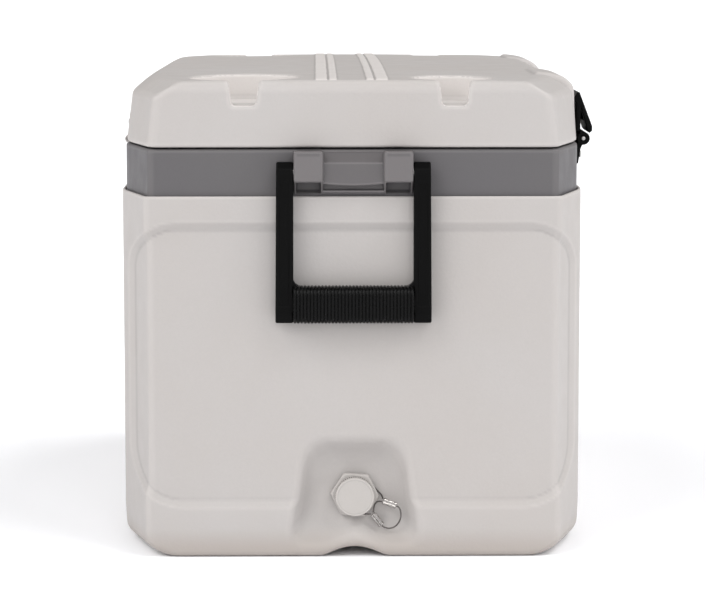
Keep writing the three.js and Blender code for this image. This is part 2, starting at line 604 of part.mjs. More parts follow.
function addLatches() {
  for (const [place, y] of Object.entries(LATCH_PLACES)) {
    addPiece(`latch_base_${place}`, latchBase(y), BLACK_PLASTIC);
    addPiece(`latch_lever_${place}`, latchLever(y), BLACK_PLASTIC);
    addPiece(`latch_pin_${place}`, latchPin(y), STEEL);
    for (const [end, side] of [['a', -20], ['b', 20]]) {
      addPiece(`latch_screw_${place}_${end}`, screw(226.6, -1, 9.8, 3.5, y + side, 378), STEEL);
    }
  }
}

addBody();
addHandles();
addDrain();
addLid();
addHinges();
addLatches();

export default chest;
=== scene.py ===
"""Looks of the cooler chest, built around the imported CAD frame.

Lengths are in millimetres until a mesh is made. Most pieces are sculpted: a function gives the signed
distance to the piece's surface (below zero inside), and sculpt() turns that into a mesh whose edges are
rounded the way a moulded part's edges are."""
import functools
import json
import math

import bpy
import numpy as np
from mathutils import Matrix, Vector


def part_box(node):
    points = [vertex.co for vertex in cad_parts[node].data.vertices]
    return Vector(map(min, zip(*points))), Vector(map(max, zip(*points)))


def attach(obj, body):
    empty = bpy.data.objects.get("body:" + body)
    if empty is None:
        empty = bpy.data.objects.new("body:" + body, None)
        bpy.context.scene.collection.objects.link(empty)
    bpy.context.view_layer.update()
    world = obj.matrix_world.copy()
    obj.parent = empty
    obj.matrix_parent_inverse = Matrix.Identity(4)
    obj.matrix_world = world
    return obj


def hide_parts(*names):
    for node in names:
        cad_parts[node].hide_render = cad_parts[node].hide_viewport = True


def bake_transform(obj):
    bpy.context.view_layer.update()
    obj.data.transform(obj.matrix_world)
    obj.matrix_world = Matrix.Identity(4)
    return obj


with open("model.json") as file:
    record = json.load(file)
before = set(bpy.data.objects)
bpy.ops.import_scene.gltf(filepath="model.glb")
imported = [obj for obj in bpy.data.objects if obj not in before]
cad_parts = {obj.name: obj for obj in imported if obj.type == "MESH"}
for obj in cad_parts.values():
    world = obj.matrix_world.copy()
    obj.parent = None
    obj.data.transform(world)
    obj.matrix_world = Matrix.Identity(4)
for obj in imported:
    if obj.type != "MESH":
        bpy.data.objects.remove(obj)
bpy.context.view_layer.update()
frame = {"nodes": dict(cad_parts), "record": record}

MM = 0.001
MICRON = 0.000001
record = frame["record"]
NODE_BODY = {node: body for body, nodes in record["behaviour"]["bodies"].items() for node in nodes}
NODE_SLOT = {row["node"]: row["material_slot"] for row in record["subparts"]}


def lowest(node):
    return np.array(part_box(node)[0]) / MM


def highest(node):
    return np.array(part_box(node)[1]) / MM


# ---- driving dimensions, from the frame where it has them ----
HALF_WIDTH, HALF_LENGTH, SHELL_TOP = highest("outer_shell")
CORNER_WIDTH = 27.0  # each upright corner is an angled panel: this deep in X
CORNER_LENGTH = 92.0  # and this long in Y
CORNER_SPAN = math.hypot(CORNER_WIDTH, CORNER_LENGTH)
SHELL_WALL = 4.0
LIP_WALL = 3.4
LIP_Z = 334.0
END_PANEL_HALF = 213.7
SIDE_PANEL_HALF = 266.0
PANEL_Z = (52.0, 319.0)
PANEL_DEPTH = 4.0
PANEL_BAND = 7.6  # width of the slope around the recessed panel

COLLAR_HALF_WIDTH, COLLAR_HALF_LENGTH, COLLAR_TOP = highest("rim_collar")
COLLAR_BOTTOM = lowest("rim_collar")[2]
DECK = 3.5
LINER_HALF = (172.0, 312.0)
LINER_CORNER = 35.0
LINER_WALL = 3.0
LINER_FLOOR = 40.0
FLANGE_OUT = 27.5

LID_BOTTOM = lowest("lid_shell")[2]
LID_HALF_WIDTH = -lowest("lid_shell")[0]
LID_HALF_LENGTH = highest("lid_shell")[1]
LID_WALL = 4.2
LID_EDGE = 455.5  # height of the lid's top at its corners
LID_CROWN = 4.0
CROWN_HALF = (193.5, 362.0)
CUP_FLOOR = 434.0
CUPS = [  # centre x, radius, distance in from the end, x of the drain channel
    (-104.0, 54.0, 64.0, -103.5),
    (95.5, 40.0, 50.0, 96.0),
]
STRIPS = [(-35.7, -24.9), (-22.5, -15.6), (12.8, 19.4), (21.7, 33.0)]
STRIP_HEIGHT = 1.2

DRAIN_X = 1.5
DRAIN_Z = 58.5
DRAIN_HOLE = 13.2
POCKET_BACK = 350.0
POCKET_HALF = 50.8  # half the width of its back
POCKET_TOP = 94.0
APRON_Z = 31.0
APRON_SWELL = 11.0
PIVOT_OUT = 378.0
PIVOT_Z = 372.0
HINGE_X = -221.5
HINGE_Z = 392.7
HINGE_Y = 190.0
HINGE_HALF = 30.0
HINGE_KNUCKLE = 4.0
LATCH_X = 229.5
LATCH_Z = 394.0
LATCH_Y = 210.0
LATCH_HALF = 32.0

COARSENESS = 1.0


# ---- camera ----
def add_camera():
    data = bpy.data.cameras.new("camera")
    data.lens = 142.8
    data.sensor_width = 36.0
    data.clip_end = 100.0
    camera = bpy.data.objects.new("camera", data)
    bpy.context.scene.collection.objects.link(camera)
    pitch, yaw = math.radians(6.94), math.radians(0.767)
    look = Vector((math.sin(yaw) * math.cos(pitch), math.cos(yaw) * math.cos(pitch), -math.sin(pitch)))
    camera.location = (-0.0357, -3.010, 0.5702)
    camera.rotation_euler = look.to_track_quat("-Z", "Y").to_euler()
    bpy.context.scene.camera = camera


add_camera()


# ---- materials ----
def srgb(*values):
    """Linear colour from 0 to 255 display values."""
    scaled = [v / 255.0 for v in values]
    return [v / 12.92 if v <= 0.04045 else ((v + 0.055) / 1.055) ** 2.4 for v in scaled] + [1.0]


class Finish:
    """A Principled material that is built up node by node."""

    def __init__(self, name):
        self.material = bpy.data.materials.new(name)
        self.material.use_nodes = True
        self.tree = self.material.node_tree
        self.place = self.add("ShaderNodeTexCoord").outputs["Object"]

    def fill(self, node, sockets):
        """Gives a node's sockets their constants, or links them to other nodes' outputs."""
        for key, value in sockets.items():
            if isinstance(value, bpy.types.NodeSocket):
                self.tree.links.new(value, node.inputs[key])
            else:
                node.inputs[key].default_value = value

    def add(self, kind, sockets=None, **settings):
        node = self.tree.nodes.new(kind)
        for key, value in settings.items():
            setattr(node, key, value)
        self.fill(node, sockets or {})
        return node

    def noise(self, scale, detail=3.0, roughness=0.5, stretch=None):
        """Noise with about one feature every 1/scale metres."""
        place = self.place
        if stretch:
            place = self.add("ShaderNodeMapping", {"Scale": stretch, "Vector": place}).outputs["Vector"]
        sockets = {"Scale": scale, "Detail": detail, "Roughness": roughness, "Vector": place}
        return self.add("ShaderNodeTexNoise", sockets).outputs["Fac"]

    def spread(self, source, low, high, span=(0.3, 0.7)):
        """source from span stretched to low..high."""
        sockets = {"From Min": span[0], "From Max": span[1], "To Min": low, "To Max": high, "Value": source}
        return self.add("ShaderNodeMapRange", sockets).outputs["Result"]

    def mix(self, factor, first, second):
        return self.add("ShaderNodeMix", {"Factor": factor, 6: first, 7: second}, data_type="RGBA").outputs[2]

    def mottled(self, scale, first, second, detail=3.0):
        """Two colours from 0 to 255, in slow patches."""
        return self.mix(self.spread(self.noise(scale, detail), 0.0, 1.0), srgb(*first), srgb(*second))

    def bump(self, height, distance, under=None):
        """The normal of a relief, which can lie over another one."""
        sockets = {"Distance": distance, "Height": height}
        if under:
            sockets["Normal"] = under
        return self.add("ShaderNodeBump", sockets).outputs["Normal"]

    def surface(self, sockets):
        """Fills the shader's sockets, and gives the finished material."""
        self.fill(self.tree.nodes["Principled BSDF"], sockets)
        return self.material


FOOT_SHADE = (0.94, 0.92, 0.90)  # painted contact shade: how much darker the colour gets low on the foot
FOOT_SHADE_Z = (0.010, 0.028)  # full below the first height, gone above the second


def plastic(name, colour, tint, edge_highlight, roughness, specular, peel, grain):
    """Moulded plastic: slow changes of tone and gloss, orange peel, a fine grain, a painted highlight along
    edges, painted shade in creases, and painted contact shade low on the foot. peel and grain are (features
    a metre, microns high)."""
    finish = Finish(name)
    tone = finish.mottled(7.0, colour, tint, 4.0)
    speckle = finish.spread(finish.noise(600.0, 2.0), 0.0, 0.12)
    tone = finish.mix(speckle, tone, srgb(*[v * 0.9 for v in colour]))
    bent = finish.add("ShaderNodeAttribute", attribute_name="bend").outputs["Fac"]
    # Painted highlight: convex edges are mixed towards the lighter edge colour.
    tone = finish.mix(finish.spread(bent, 0.0, 0.35, (0.01, 0.25)), tone, srgb(*edge_highlight))
    # Painted shade: creases are mixed towards a darker copy of the colour.
    tone = finish.mix(finish.spread(bent, 0.3, 0.0, (-0.2, -0.01)), tone, srgb(*[v * 0.8 for v in colour]))
    height = finish.add("ShaderNodeSeparateXYZ", {"Vector": finish.place}).outputs["Z"]
    # Painted contact shade: the colour is darker low on the foot, near the floor.
    shaded_foot = srgb(*[v * darkening for v, darkening in zip(colour, FOOT_SHADE)])
    tone = finish.mix(finish.spread(height, 1.0, 0.0, FOOT_SHADE_Z), tone, shaded_foot)
    gloss = finish.spread(finish.noise(45.0), roughness - 0.05, roughness + 0.05)
    relief = finish.bump(finish.noise(peel[0], 2.0), peel[1] * MICRON)
    relief = finish.bump(finish.noise(grain[0], 3.0, 0.6), grain[1] * MICRON, under=relief)
    return finish.surface({"Base Color": tone, "Roughness": gloss, "Specular IOR Level": specular,
                           "Normal": relief})


def foam():
    finish = Finish("foam_cells")
    sockets = {"Scale": 420.0, "Vector": finish.place}
    cells = finish.add("ShaderNodeTexVoronoi", sockets).outputs["Distance"]
    tone = finish.mix(cells, srgb(226, 214, 172), srgb(240, 232, 204))
    return finish.surface({"Base Color": tone, "Roughness": 0.9, "Normal": finish.bump(cells, 600 * MICRON)})


def rubber(name, colour, roughness, specular):
    finish = Finish(name)
    tone = finish.mottled(60.0, colour, [v + 4 for v in colour])
    gloss = finish.spread(finish.noise(140.0), roughness, roughness + 0.15)
    relief = finish.bump(finish.noise(2600.0, 2.0), 60 * MICRON)
    return finish.surface({"Base Color": tone, "Roughness": gloss, "Specular IOR Level": specular,
                           "Normal": relief})


def steel(name, colour, roughness):
    """Drawn stainless steel: fine scratches and a little unevenness in tone."""
    finish = Finish(name)
    tone = finish.mottled(180.0, colour, [v - 28 for v in colour])
    scratches = finish.noise(900.0, 4.0, 0.7, stretch=(1.0, 8.0, 8.0))
    gloss = finish.spread(scratches, roughness - 0.06, roughness + 0.1)
    relief = finish.bump(scratches, 30 * MICRON)
    return finish.surface({"Base Color": tone, "Metallic": 1.0, "Roughness": gloss, "Normal": relief})


# In every plastic() below, the third colour is the painted highlight along edges.
FINISHES = {  # one for each of the record's material slots
    "shell_plastic": plastic(
        "shell_polyethylene", (171, 167, 165), (169, 164, 161), (186, 181, 178), 0.55, 0.3,
        (260, 220), (1500, 40)),
    "collar_plastic": plastic(
        "collar_polyethylene", (97, 95, 96), (94, 92, 94), (122, 119, 119), 0.4, 0.03,
        (300, 140), (2400, 30)),
    "liner_plastic": plastic(
        "liner_polyethylene", (208, 206, 202), (203, 201, 198), (214, 212, 208), 0.42, 0.4,
        (220, 160), (1500, 30)),
    "foam": foam(),
    "black_plastic": plastic(
        "black_polyamide", (7, 7, 7), (5, 5, 5), (10, 10, 10), 0.4, 0.06,
        (700, 60), (3200, 40)),
    "grip_rubber": rubber("black_rubber", (3, 3, 3), 0.2, 0.12),
    "drain_plastic": plastic(
        "drain_acetal", (172, 167, 164), (169, 165, 161), (177, 172, 168), 0.42, 0.3,
        (400, 60), (2600, 20)),
    "seal_rubber": rubber("seal_rubber", (34, 34, 36), 0.5, 0.25),
    "steel": steel("stainless_steel", (188, 186, 184), 0.26),
}
CABLE_STEEL = steel("cable_steel", (112, 108, 106), 0.38)
FERRULE_STEEL = steel("ferrule_steel", (168, 164, 161), 0.16)
# Painted light: a lighter copy of the shell plastic, a little less rough, for the strip tops and the cup
# holders' insides.
PAINTED_LIGHT_PLASTIC = plastic(
    "painted_light_polyethylene", (197, 192, 189), (195, 190, 187), (199, 194, 191), 0.5, 0.3,
    (260, 120), (1500, 30))
BRACKET_PLASTIC = plastic(
    "bracket_polyamide", (92, 89, 90), (90, 87, 88), (118, 114, 114), 0.4, 0.3,
    (400, 80), (2400, 30))


# ---- distance functions ----
def meet(a, b, k):
    """The larger of a and b, eased over a width of k: what two shapes share, with its edge rounded."""
    near = np.maximum(k - np.abs(a - b), 0.0)
    return np.maximum(a, b) + near * near / (4.0 * k)


def join(a, b, k):
    """The smaller of a and b, eased over a width of k: two shapes with a fillet between them."""
    return -meet(-a, -b, k)


def overlap(*shapes):
    """What all the shapes share, with sharp edges."""
    return functools.reduce(np.maximum, shapes)


def union(*shapes):
    """All the shapes together, with sharp corners between them."""
    return functools.reduce(np.minimum, shapes)


def ramp(t, softness=0.3):
    """0 below 0 and 1 above 1, straight between, with both ends eased."""
    return join(meet(t, 0.0 * t, softness), 1.0 + 0.0 * t, softness)


def rounded_box(a, b, half_a, half_b, corner):
    """Distance outside a rounded rectangle about the origin of the (a, b) plane."""
    da = np.abs(a) - half_a + corner
    db = np.abs(b) - half_b + corner
    outside = np.hypot(np.maximum(da, 0.0), np.maximum(db, 0.0))
    return outside + np.minimum(np.maximum(da, db), 0.0) - corner


def inset(outline, amount):
    """A counterclockwise outline with every edge moved inwards by amount."""
    moved = []
    count = len(outline)
    for i in range(count):
        before, here, after = (np.array(outline[(i + k) % count], float) for k in (-1, 0, 1))
        first = (here - before) / np.linalg.norm(here - before)
        second = (after - here) / np.linalg.norm(after - here)
        inward = np.array([-first[1] - second[1], first[0] + second[0]])
        moved.append(tuple(here + inward * amount / (1.0 + first @ second)))
    return moved


def polygon(a, b, outline, rounding=0.0):
    """Distance outside a counterclockwise outline in the (a, b) plane, with its outer corners rounded."""
    points = inset(outline, rounding) if rounding else list(outline)
    a, b = np.broadcast_arrays(a, b)
    nearest = np.full(a.shape, np.inf)
    inside = np.zeros(a.shape, bool)
    for (a0, b0), (a1, b1) in zip(points, points[1:] + points[:1]):
        da, db = a1 - a0, b1 - b0
        along = np.clip(((a - a0) * da + (b - b0) * db) / (da * da + db * db), 0.0, 1.0)
        nearest = np.minimum(nearest, (a - a0 - along * da) ** 2 + (b - b0 - along * db) ** 2)
        if db != 0.0:
            inside ^= ((b0 > b) != (b1 > b)) & (a < a0 + (b - b0) * da / db)
    return np.where(inside, -1.0, 1.0) * np.sqrt(nearest) - rounding


def plan(x, y, half_width, half_length, crease):
    """Distance outside the chest's plan, and outside its sides and corner panels alone."""
    side = np.abs(x) - half_width
    end = np.abs(y) - half_length
    corner = (side * CORNER_LENGTH + (end + CORNER_LENGTH) * CORNER_WIDTH) / CORNER_SPAN
    flank = meet(side, corner, crease)
    return meet(flank, end, crease), flank


# ---- from a distance function to a mesh ----
def grid_lines(start, stops):
    """Grid lines from start on, through (end, spacing) stops."""
    lines = [start]
    for end, spacing in stops:
        count = max(1, round((end - lines[-1]) / (spacing * COARSENESS)))
        lines.extend(np.linspace(lines[-1], end, count + 1)[1:])
    return np.array(lines, float)


def both_ways(stops):
    lines = grid_lines(0.0, stops)
    return np.concatenate([-lines[:0:-1], lines])


CELL_CORNERS = [(i & 1, i >> 1 & 1, i >> 2) for i in range(8)]
CELL_EDGES = [(i, i | bit) for bit in (1, 2, 4) for i in range(8) if not i & bit]


def cell_points(values, inside, lines):
    """One point in every cell that the surface passes through, and the number of each such cell."""
    size = [n - 1 for n in values.shape]
    windows = [tuple(slice(o, o + n) for o, n in zip(offset, size)) for offset in CELL_CORNERS]
    filled = sum(inside[window].astype(np.int8) for window in windows)
    cells = np.nonzero((filled > 0) & (filled < 8))
    number = np.full(size, -1, np.int64)
    number[cells] = np.arange(len(cells[0]))
    corner_value, corner_place = [], []
    for offset in CELL_CORNERS:
        at = tuple(c + o for c, o in zip(cells, offset))
        corner_value.append(values[at])
        corner_place.append(np.stack([line[i] for line, i in zip(lines, at)], 1))
    total = np.zeros((len(cells[0]), 3))
    crossings = np.zeros(len(cells[0]))
    for a, b in CELL_EDGES:
        crossed = (corner_value[a] < 0) != (corner_value[b] < 0)
        step = np.where(crossed, corner_value[b] - corner_value[a], 1.0)
        along = np.where(crossed, -corner_value[a] / step, 0.0)
        point = corner_place[a] + along[:, None] * (corner_place[b] - corner_place[a])
        total += np.where(crossed[:, None], point, 0.0)
        crossings += crossed
    return total / crossings[:, None], number


def cell_quads(inside, number):
    """A four-sided face across every grid edge that the surface crosses, facing outwards."""
    quads = []
    for axis in range(3):
        u, v = (axis + 1) % 3, (axis + 2) % 3
        start = [slice(1, -1)] * 3
        start[axis] = slice(None, -1)
        stop = list(start)
        stop[axis] = slice(1, None)
        first, second = inside[tuple(start)], inside[tuple(stop)]
        edges = np.nonzero(first != second)
        outward = first[edges]
        base = [edges[0] + 1, edges[1] + 1, edges[2] + 1]
        base[axis] = edges[axis]
        around = []
        for du, dv in ((-1, -1), (0, -1), (0, 0), (-1, 0)):
            cell = list(base)
            cell[u] = base[u] + du
            cell[v] = base[v] + dv
            around.append(number[tuple(cell)])
        faces = np.stack(around, 1)
        faces[~outward] = faces[~outward][:, ::-1]
        quads.append(faces)
    return np.concatenate(quads)


def neighbours(field, points, step):
    """The field a step ahead of every point and a step behind it, along each axis."""
    x, y, z = points.T
    return [(field(x + s[0], y + s[1], z + s[2]), field(x - s[0], y - s[1], z - s[2]))
            for s in np.eye(3) * step]


def slope(field, points, step=0.35):
    """The field and its gradient at some points."""
    rise = [ahead - behind for ahead, behind in neighbours(field, points, step)]
    return field(*points.T), np.stack(rise, 1) / (2.0 * step)


def settle(field, points, reach):
    """Moves each point onto the surface, and gives the surface's normal there."""
    for _ in range(4):
        value, gradient = slope(field, points)
        steep = np.maximum((gradient ** 2).sum(1), 0.05)
        points = points - np.clip(value / steep, -reach, reach)[:, None] * gradient
    _, gradient = slope(field, points)
    return points, gradient / np.maximum(np.linalg.norm(gradient, axis=1), 1e-6)[:, None]


def bend(field, points, reach=1.2):
    """How sharply the surface bends, in 1/mm: above zero over an edge, below zero in a crease."""
    around = sum(ahead + behind for ahead, behind in neighbours(field, points, reach))
    return (around - 6.0 * field(*points.T)) / (reach * reach)


def mesh_of(name, points, faces, normals=None, unit=MM):
    """A smooth mesh from points, which are in millimetres unless told otherwise."""
    mesh = bpy.data.meshes.new(name)
    mesh.from_pydata((np.asarray(points) * unit).tolist(), [], faces)
    mesh.shade_smooth()
    if normals is not None:
        mesh.normals_split_custom_set_from_vertices(normals.tolist())
    return mesh


def tube_faces(rings, around):
    """The faces of a tube whose points go ring by ring, closed at both ends."""
    faces = []
    for i in range(rings - 1):
        for k in range(around):
            a, b = i * around + k, i * around + (k + 1) % around
            faces.append((a, b, b + around, a + around))
    first = range(around)
    last = range((rings - 1) * around, rings * around)
    return faces + [tuple(reversed(first)), tuple(last)]


def sculpt(name, field, xs, ys, zs):
    """The mesh of the surface where field(x, y, z) is zero, sampled on the grid lines."""
    values = field(xs[:, None, None], ys[None, :, None], zs[None, None, :])
    values = np.broadcast_to(values, (len(xs), len(ys), len(zs)))
    inside = values < 0
    points, number = cell_points(values, inside, (xs, ys, zs))
    quads = cell_quads(inside, number)
    points, normals = settle(field, points, 0.6)
    mesh = mesh_of(name, points, quads.tolist(), normals)
    # The bend attribute drives the painted edge highlight and the painted crease shade in plastic().
    mesh.attributes.new("bend", "FLOAT", "POINT").data.foreach_set("value", bend(field, points))
    return mesh


def paint(mesh, material, wanted):
    """A second material on the faces whose centres wanted(x, y, z) picks."""
    centres = np.array([face.center for face in mesh.polygons]) / MM
    mesh.materials.append(material)
    mesh.polygons.foreach_set("material_index", wanted(*centres.T).astype(np.int32))


def place(mesh, node, name=None, finish=None):
    """A piece that stands for a CAD node, on that node's body and in its finish."""
    piece = bpy.data.objects.new(name or f"{node}_piece", mesh)
    bpy.context.scene.collection.objects.link(piece)
    if not mesh.materials:
        mesh.materials.append(finish or FINISHES[NODE_SLOT[node]])
    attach(piece, NODE_BODY[node])
    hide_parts(node)
    return piece


HALF_TURN = Matrix.Rotation(math.pi, 4, "Z")


def place_twice(name, mesh, first, second, move, row=""):
    """A piece at the first place, and a copy of it moved to the second."""
    place(mesh, f"{name}_{row}{first}", f"{name}_{first}_piece")
    other = mesh.copy()
    other.name = f"{name}_{second}_mesh"
    other.transform(move)
    place(other, f"{name}_{row}{second}", f"{name}_{second}_piece")


# ---- tether ----
CABLE_RADIUS = 0.00075
CABLE_ROUTE = [
    (0.0420, -0.3616, 0.0483), (0.0443, -0.3617, 0.0461), (0.0455, -0.3619, 0.0432),
    (0.0458, -0.3621, 0.0400), (0.0455, -0.3623, 0.0367), (0.0444, -0.3625, 0.0335),
    (0.0425, -0.3627, 0.0306), (0.0400, -0.3629, 0.0284), (0.0370, -0.3630, 0.0271),
    (0.0340, -0.3631, 0.0267), (0.0314, -0.3632, 0.0273), (0.0293, -0.3632, 0.0282),
    (0.0276, -0.3632, 0.0295),
]
BRIDGE_ROUTE = [
    (0.0278, -0.3616, 0.0524), (0.0253, -0.3617, 0.0529), (0.0227, -0.3619, 0.0522),
    (0.0208, -0.3622, 0.0501), (0.0199, -0.3625, 0.0472), (0.0196, -0.3628, 0.0447),
    (0.0192, -0.3632, 0.0424),
]
SPOUT_TAIL = [
    (0.0194, -0.3532, 0.0658), (0.0226, -0.3534, 0.0626), (0.0264, -0.3556, 0.0590),
    (0.0280, -0.3588, 0.0569), (0.0282, -0.3608, 0.0552),
]
CAP_TAIL = [(0.0050, -0.3627, 0.0410), (0.0110, -0.3629, 0.0408), (0.0172, -0.3632, 0.0406)]


def smooth_path(points, steps=8):
    """Points along a Catmull-Rom curve through the given points."""
    stations = [Vector(p) for p in points]
    ends = [2 * stations[0] - stations[1]] + stations + [2 * stations[-1] - stations[-2]]
    path = []
    for a, b, c, d in zip(ends, ends[1:], ends[2:], ends[3:]):
        for i in range(steps):
            t = i / steps
            path.append(0.5 * (2 * b + (c - a) * t + (2 * a - 5 * b + 4 * c - d) * t ** 2
                               + (3 * b - a - 3 * c + d) * t ** 3))
    return path + [stations[-1]]


def path_length(path):
    return sum((b - a).length for a, b in zip(path, path[1:]))


def wire_rope(name, path):
    """A rope of six twisted strands along a path, closed at both ends, in metres."""
    sides, strands, lay_length = 24, 6, 0.009
    points = []
    side = Vector((0, 1, 0))
    travelled = 0.0
    for i, here in enumerate(path):
        ahead = (path[min(i + 1, len(path) - 1)] - path[max(i - 1, 0)]).normalized()
        side = (side - ahead * side.dot(ahead)).normalized()
        across = ahead.cross(side)
        travelled += (here - path[i - 1]).length if i else 0.0
        for k in range(sides):
            angle = 2 * math.pi * k / sides
            lobe = abs(math.sin(0.5 * strands * (angle + 2 * math.pi * travelled / lay_length)))
            radius = CABLE_RADIUS * (0.82 + 0.18 * lobe)
            points.append(here + radius * (math.cos(angle) * side + math.sin(angle) * across))
    mesh = mesh_of(name, points, tube_faces(len(path), sides), unit=1.0)
    mesh.materials.append(CABLE_STEEL)
    return mesh


def eye_path(radius, out, tail, start, turn):
    """A loop around the drain's axis that runs on into a tail, in metres."""
    loop = []
    for i in range(15):
        angle = math.radians(start + turn * i / 14)
        loop.append((DRAIN_X * MM + radius * math.cos(angle), -out, DRAIN_Z * MM + radius * math.sin(angle)))
    return smooth_path(loop + tail)


def blended_rope(name, route, node):
    """A rope that runs from the chest to the part that travels with the cap."""
    path = smooth_path(route)
    piece = bpy.data.objects.new(name, wire_rope(name, path))
    bpy.context.scene.collection.objects.link(piece)
    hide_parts(node)
    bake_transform(piece)
    return piece, path


def ferrule_field(centre, slant):
    """A crimped double sleeve: two barrels side by side, pressed in two places."""
    ahead = (math.cos(math.radians(slant)), math.sin(math.radians(slant)))

    def field(x, y, z):
        along = (x - centre[0]) * ahead[0] + (z - centre[2]) * ahead[1]
        across = (z - centre[2]) * ahead[0] - (x - centre[0]) * ahead[1]
        deep = y - centre[1]
        pressed = 0.14 * (np.exp(-((along - 3.2) / 1.3) ** 2) + np.exp(-((along + 3.2) / 1.3) ** 2))
        barrel = np.hypot(np.abs(across) - 1.5, deep) - 1.6 + pressed
        sleeve = join(barrel, rounded_box(across, deep, 1.6, 1.1, 0.3), 0.5)
        return meet(sleeve, np.abs(along) - 7.0, 0.8)

    return field


def add_tether():
    ropes = [("tether_spout_eye", eye_path(0.0184, 0.3532, SPOUT_TAIL, 360, -325)),
             ("tether_cap_eye", eye_path(0.0179, 0.3627, CAP_TAIL, -60, 326))]
    for name, path in ropes:
        place(wire_rope(name, path), name, f"{name}_rope")
    for name, slant in (("tether_spout_ferrule", -20), ("tether_cap_ferrule", -52)):
        centre = (lowest(name) + highest(name)) / 2
        near = [grid_lines(c - 8.4, [(c + 8.4, 0.4)]) for c in centre]
        near[1] = grid_lines(centre[1] - 2.2, [(centre[1] + 2.2, 0.3)])
        mesh = sculpt(name, ferrule_field(centre, slant), *near)
        place(mesh, name, f"{name}_sleeve", FERRULE_STEEL)
    blended_rope("tether_bridge_rope", BRIDGE_ROUTE, "tether_bridge")
    cable, path = blended_rope("tether_cable_rope", CABLE_ROUTE, "tether_cable")
    path_length(path)
    [tuple(p) for p in path]


# ---- outer shell ----
def panel(along, z, half):
    """Distance outside a recessed panel's edge. The corners are larger at the foot."""
    middle, half_height = sum(PANEL_Z) / 2, (PANEL_Z[1] - PANEL_Z[0]) / 2
    corner = np.where(z > middle, 46.0, 52.0)
    return rounded_box(along, z - middle, half, half_height, corner)


def underside(x, y, z):
    """Flat on the floor, and sloping up towards each corner."""
    lift = 0.63 * np.abs(x) + 0.1955 * np.abs(y) - 184.0
    return (meet(lift, 0.0 * lift, 8.0) - z) / 1.1


def drain_pocket(x, y, z):
    """Sloping sides and ceiling around a flat back, and an apron that swells over the arch."""
    across = np.abs(x - DRAIN_X)
    depth = -y - POCKET_BACK
    back = -depth + 0.0 * z
    sides = (across - POCKET_HALF - 0.75 * depth + 0.13 * z) / 1.26
    ceiling = (z - POCKET_TOP - 1.3 * depth) / 1.64
    swell = APRON_SWELL * np.exp(-(across / 19.0) ** 2)
    apron = (APRON_Z + swell - 1.13 * depth - z) / 1.51
    room = meet(meet(sides, ceiling, 19.0), back, 8.0)
    return meet(room, apron, 13.0)


def foot_arch(x, y):
    """Height of the shallow arch under the drain, which fades out under the chest."""
    across = (x - DRAIN_X) / 28.0
    fade = np.clip((-y - HALF_LENGTH + 60.0) / 60.0, 0.0, 1.0)
    return 10.6 * (1.0 - across * across) * fade


def shell_outside(x, y, z):
    wall, _ = plan(x, y, HALF_WIDTH, HALF_LENGTH, 5.0)
    edge = union(panel(x, z, END_PANEL_HALF), panel(y, z, SIDE_PANEL_HALF))
    toe = (wall + 3.2 - 0.21 * z) / 1.02
    wall = meet(wall + PANEL_DEPTH * ramp(0.5 - edge / PANEL_BAND, 0.14), toe, 5.0)
    block = meet(wall, underside(x, y, z), 6.0)
    block = meet(block, foot_arch(x, y) - z, 5.0)
    return meet(block, -drain_pocket(x, y, z), 4.0)


def outer_shell(x, y, z):
    outside = shell_outside(x, y, z)
    thickness = np.where(z > LIP_Z, LIP_WALL, SHELL_WALL)
    hole = DRAIN_HOLE - np.hypot(x - DRAIN_X, z - DRAIN_Z) - np.maximum(y + 330.0, 0.0)
    walls = overlap(outside, -(outside + thickness), hole)
    return meet(walls, z - SHELL_TOP, 2.6)


def add_outer_shell():
    xs = both_ways([(68, 2.2), (150, 7.0), (HALF_WIDTH + 2.2, 2.4)])
    ys = both_ways([(205, 17.0), (335, 4.0), (HALF_LENGTH + 2.2, 2.2)])
    zs = grid_lines(-2.2, [(126, 2.4), (258, 7.0), (330, 2.4), (SHELL_TOP + 1.6, 1.6)])
    place(sculpt("shell_skin", outer_shell, xs, ys, zs), "outer_shell", "shell_skin")


# ---- rim collar ----
BLOCK_X = (28.7, 56.4)


def block_side(x):
    """Distance outside the width of a bracket's blocks."""
    return overlap(BLOCK_X[0] - np.abs(x), np.abs(x) - BLOCK_X[1])


def bracket_hollow(x, y, z):
    """The space inside a bracket's two blocks, which reaches back into the collar."""
    profile = polygon(-y, z, [(362.4, 352.5), (372.5, 349), (384, 361), (384, 386), (362.4, 386)], 1.0)
    return meet(profile, block_side(x) + 2.0, 1.6)


def hinge_room(x, y, z, leaf_x, low, high):
    """The pockets that the hinges sit in."""
    across = np.abs(np.abs(y) - HINGE_Y) - HINGE_HALF - 0.4
    leaf = overlap(x - leaf_x, low - z, z - high)
    knuckle = np.hypot(x - HINGE_X, z - HINGE_Z) - HINGE_KNUCKLE - 0.7
    return overlap(union(leaf, knuckle), across)


def rim_collar(x, y, z):
    outside, _ = plan(x, y, COLLAR_HALF_WIDTH, COLLAR_HALF_LENGTH, 4.6)
    hollow = bracket_hollow(x, -np.abs(y), z)
    cavity = overlap(outside + 5.0, z - (COLLAR_TOP - DECK), 2.0 - hollow)
    mouth = rounded_box(x, y, LINER_HALF[0] + FLANGE_OUT + 0.3, LINER_HALF[1] + FLANGE_OUT + 0.3,
                        LINER_CORNER + FLANGE_OUT)
    band = overlap(meet(outside, z - COLLAR_TOP, 3.2), COLLAR_BOTTOM - z)
    band = overlap(band, -cavity, -mouth, -hollow)
    return meet(band, -hinge_room(x, y, z, HINGE_X + 2.9, 365.7, 500.0), 0.8)


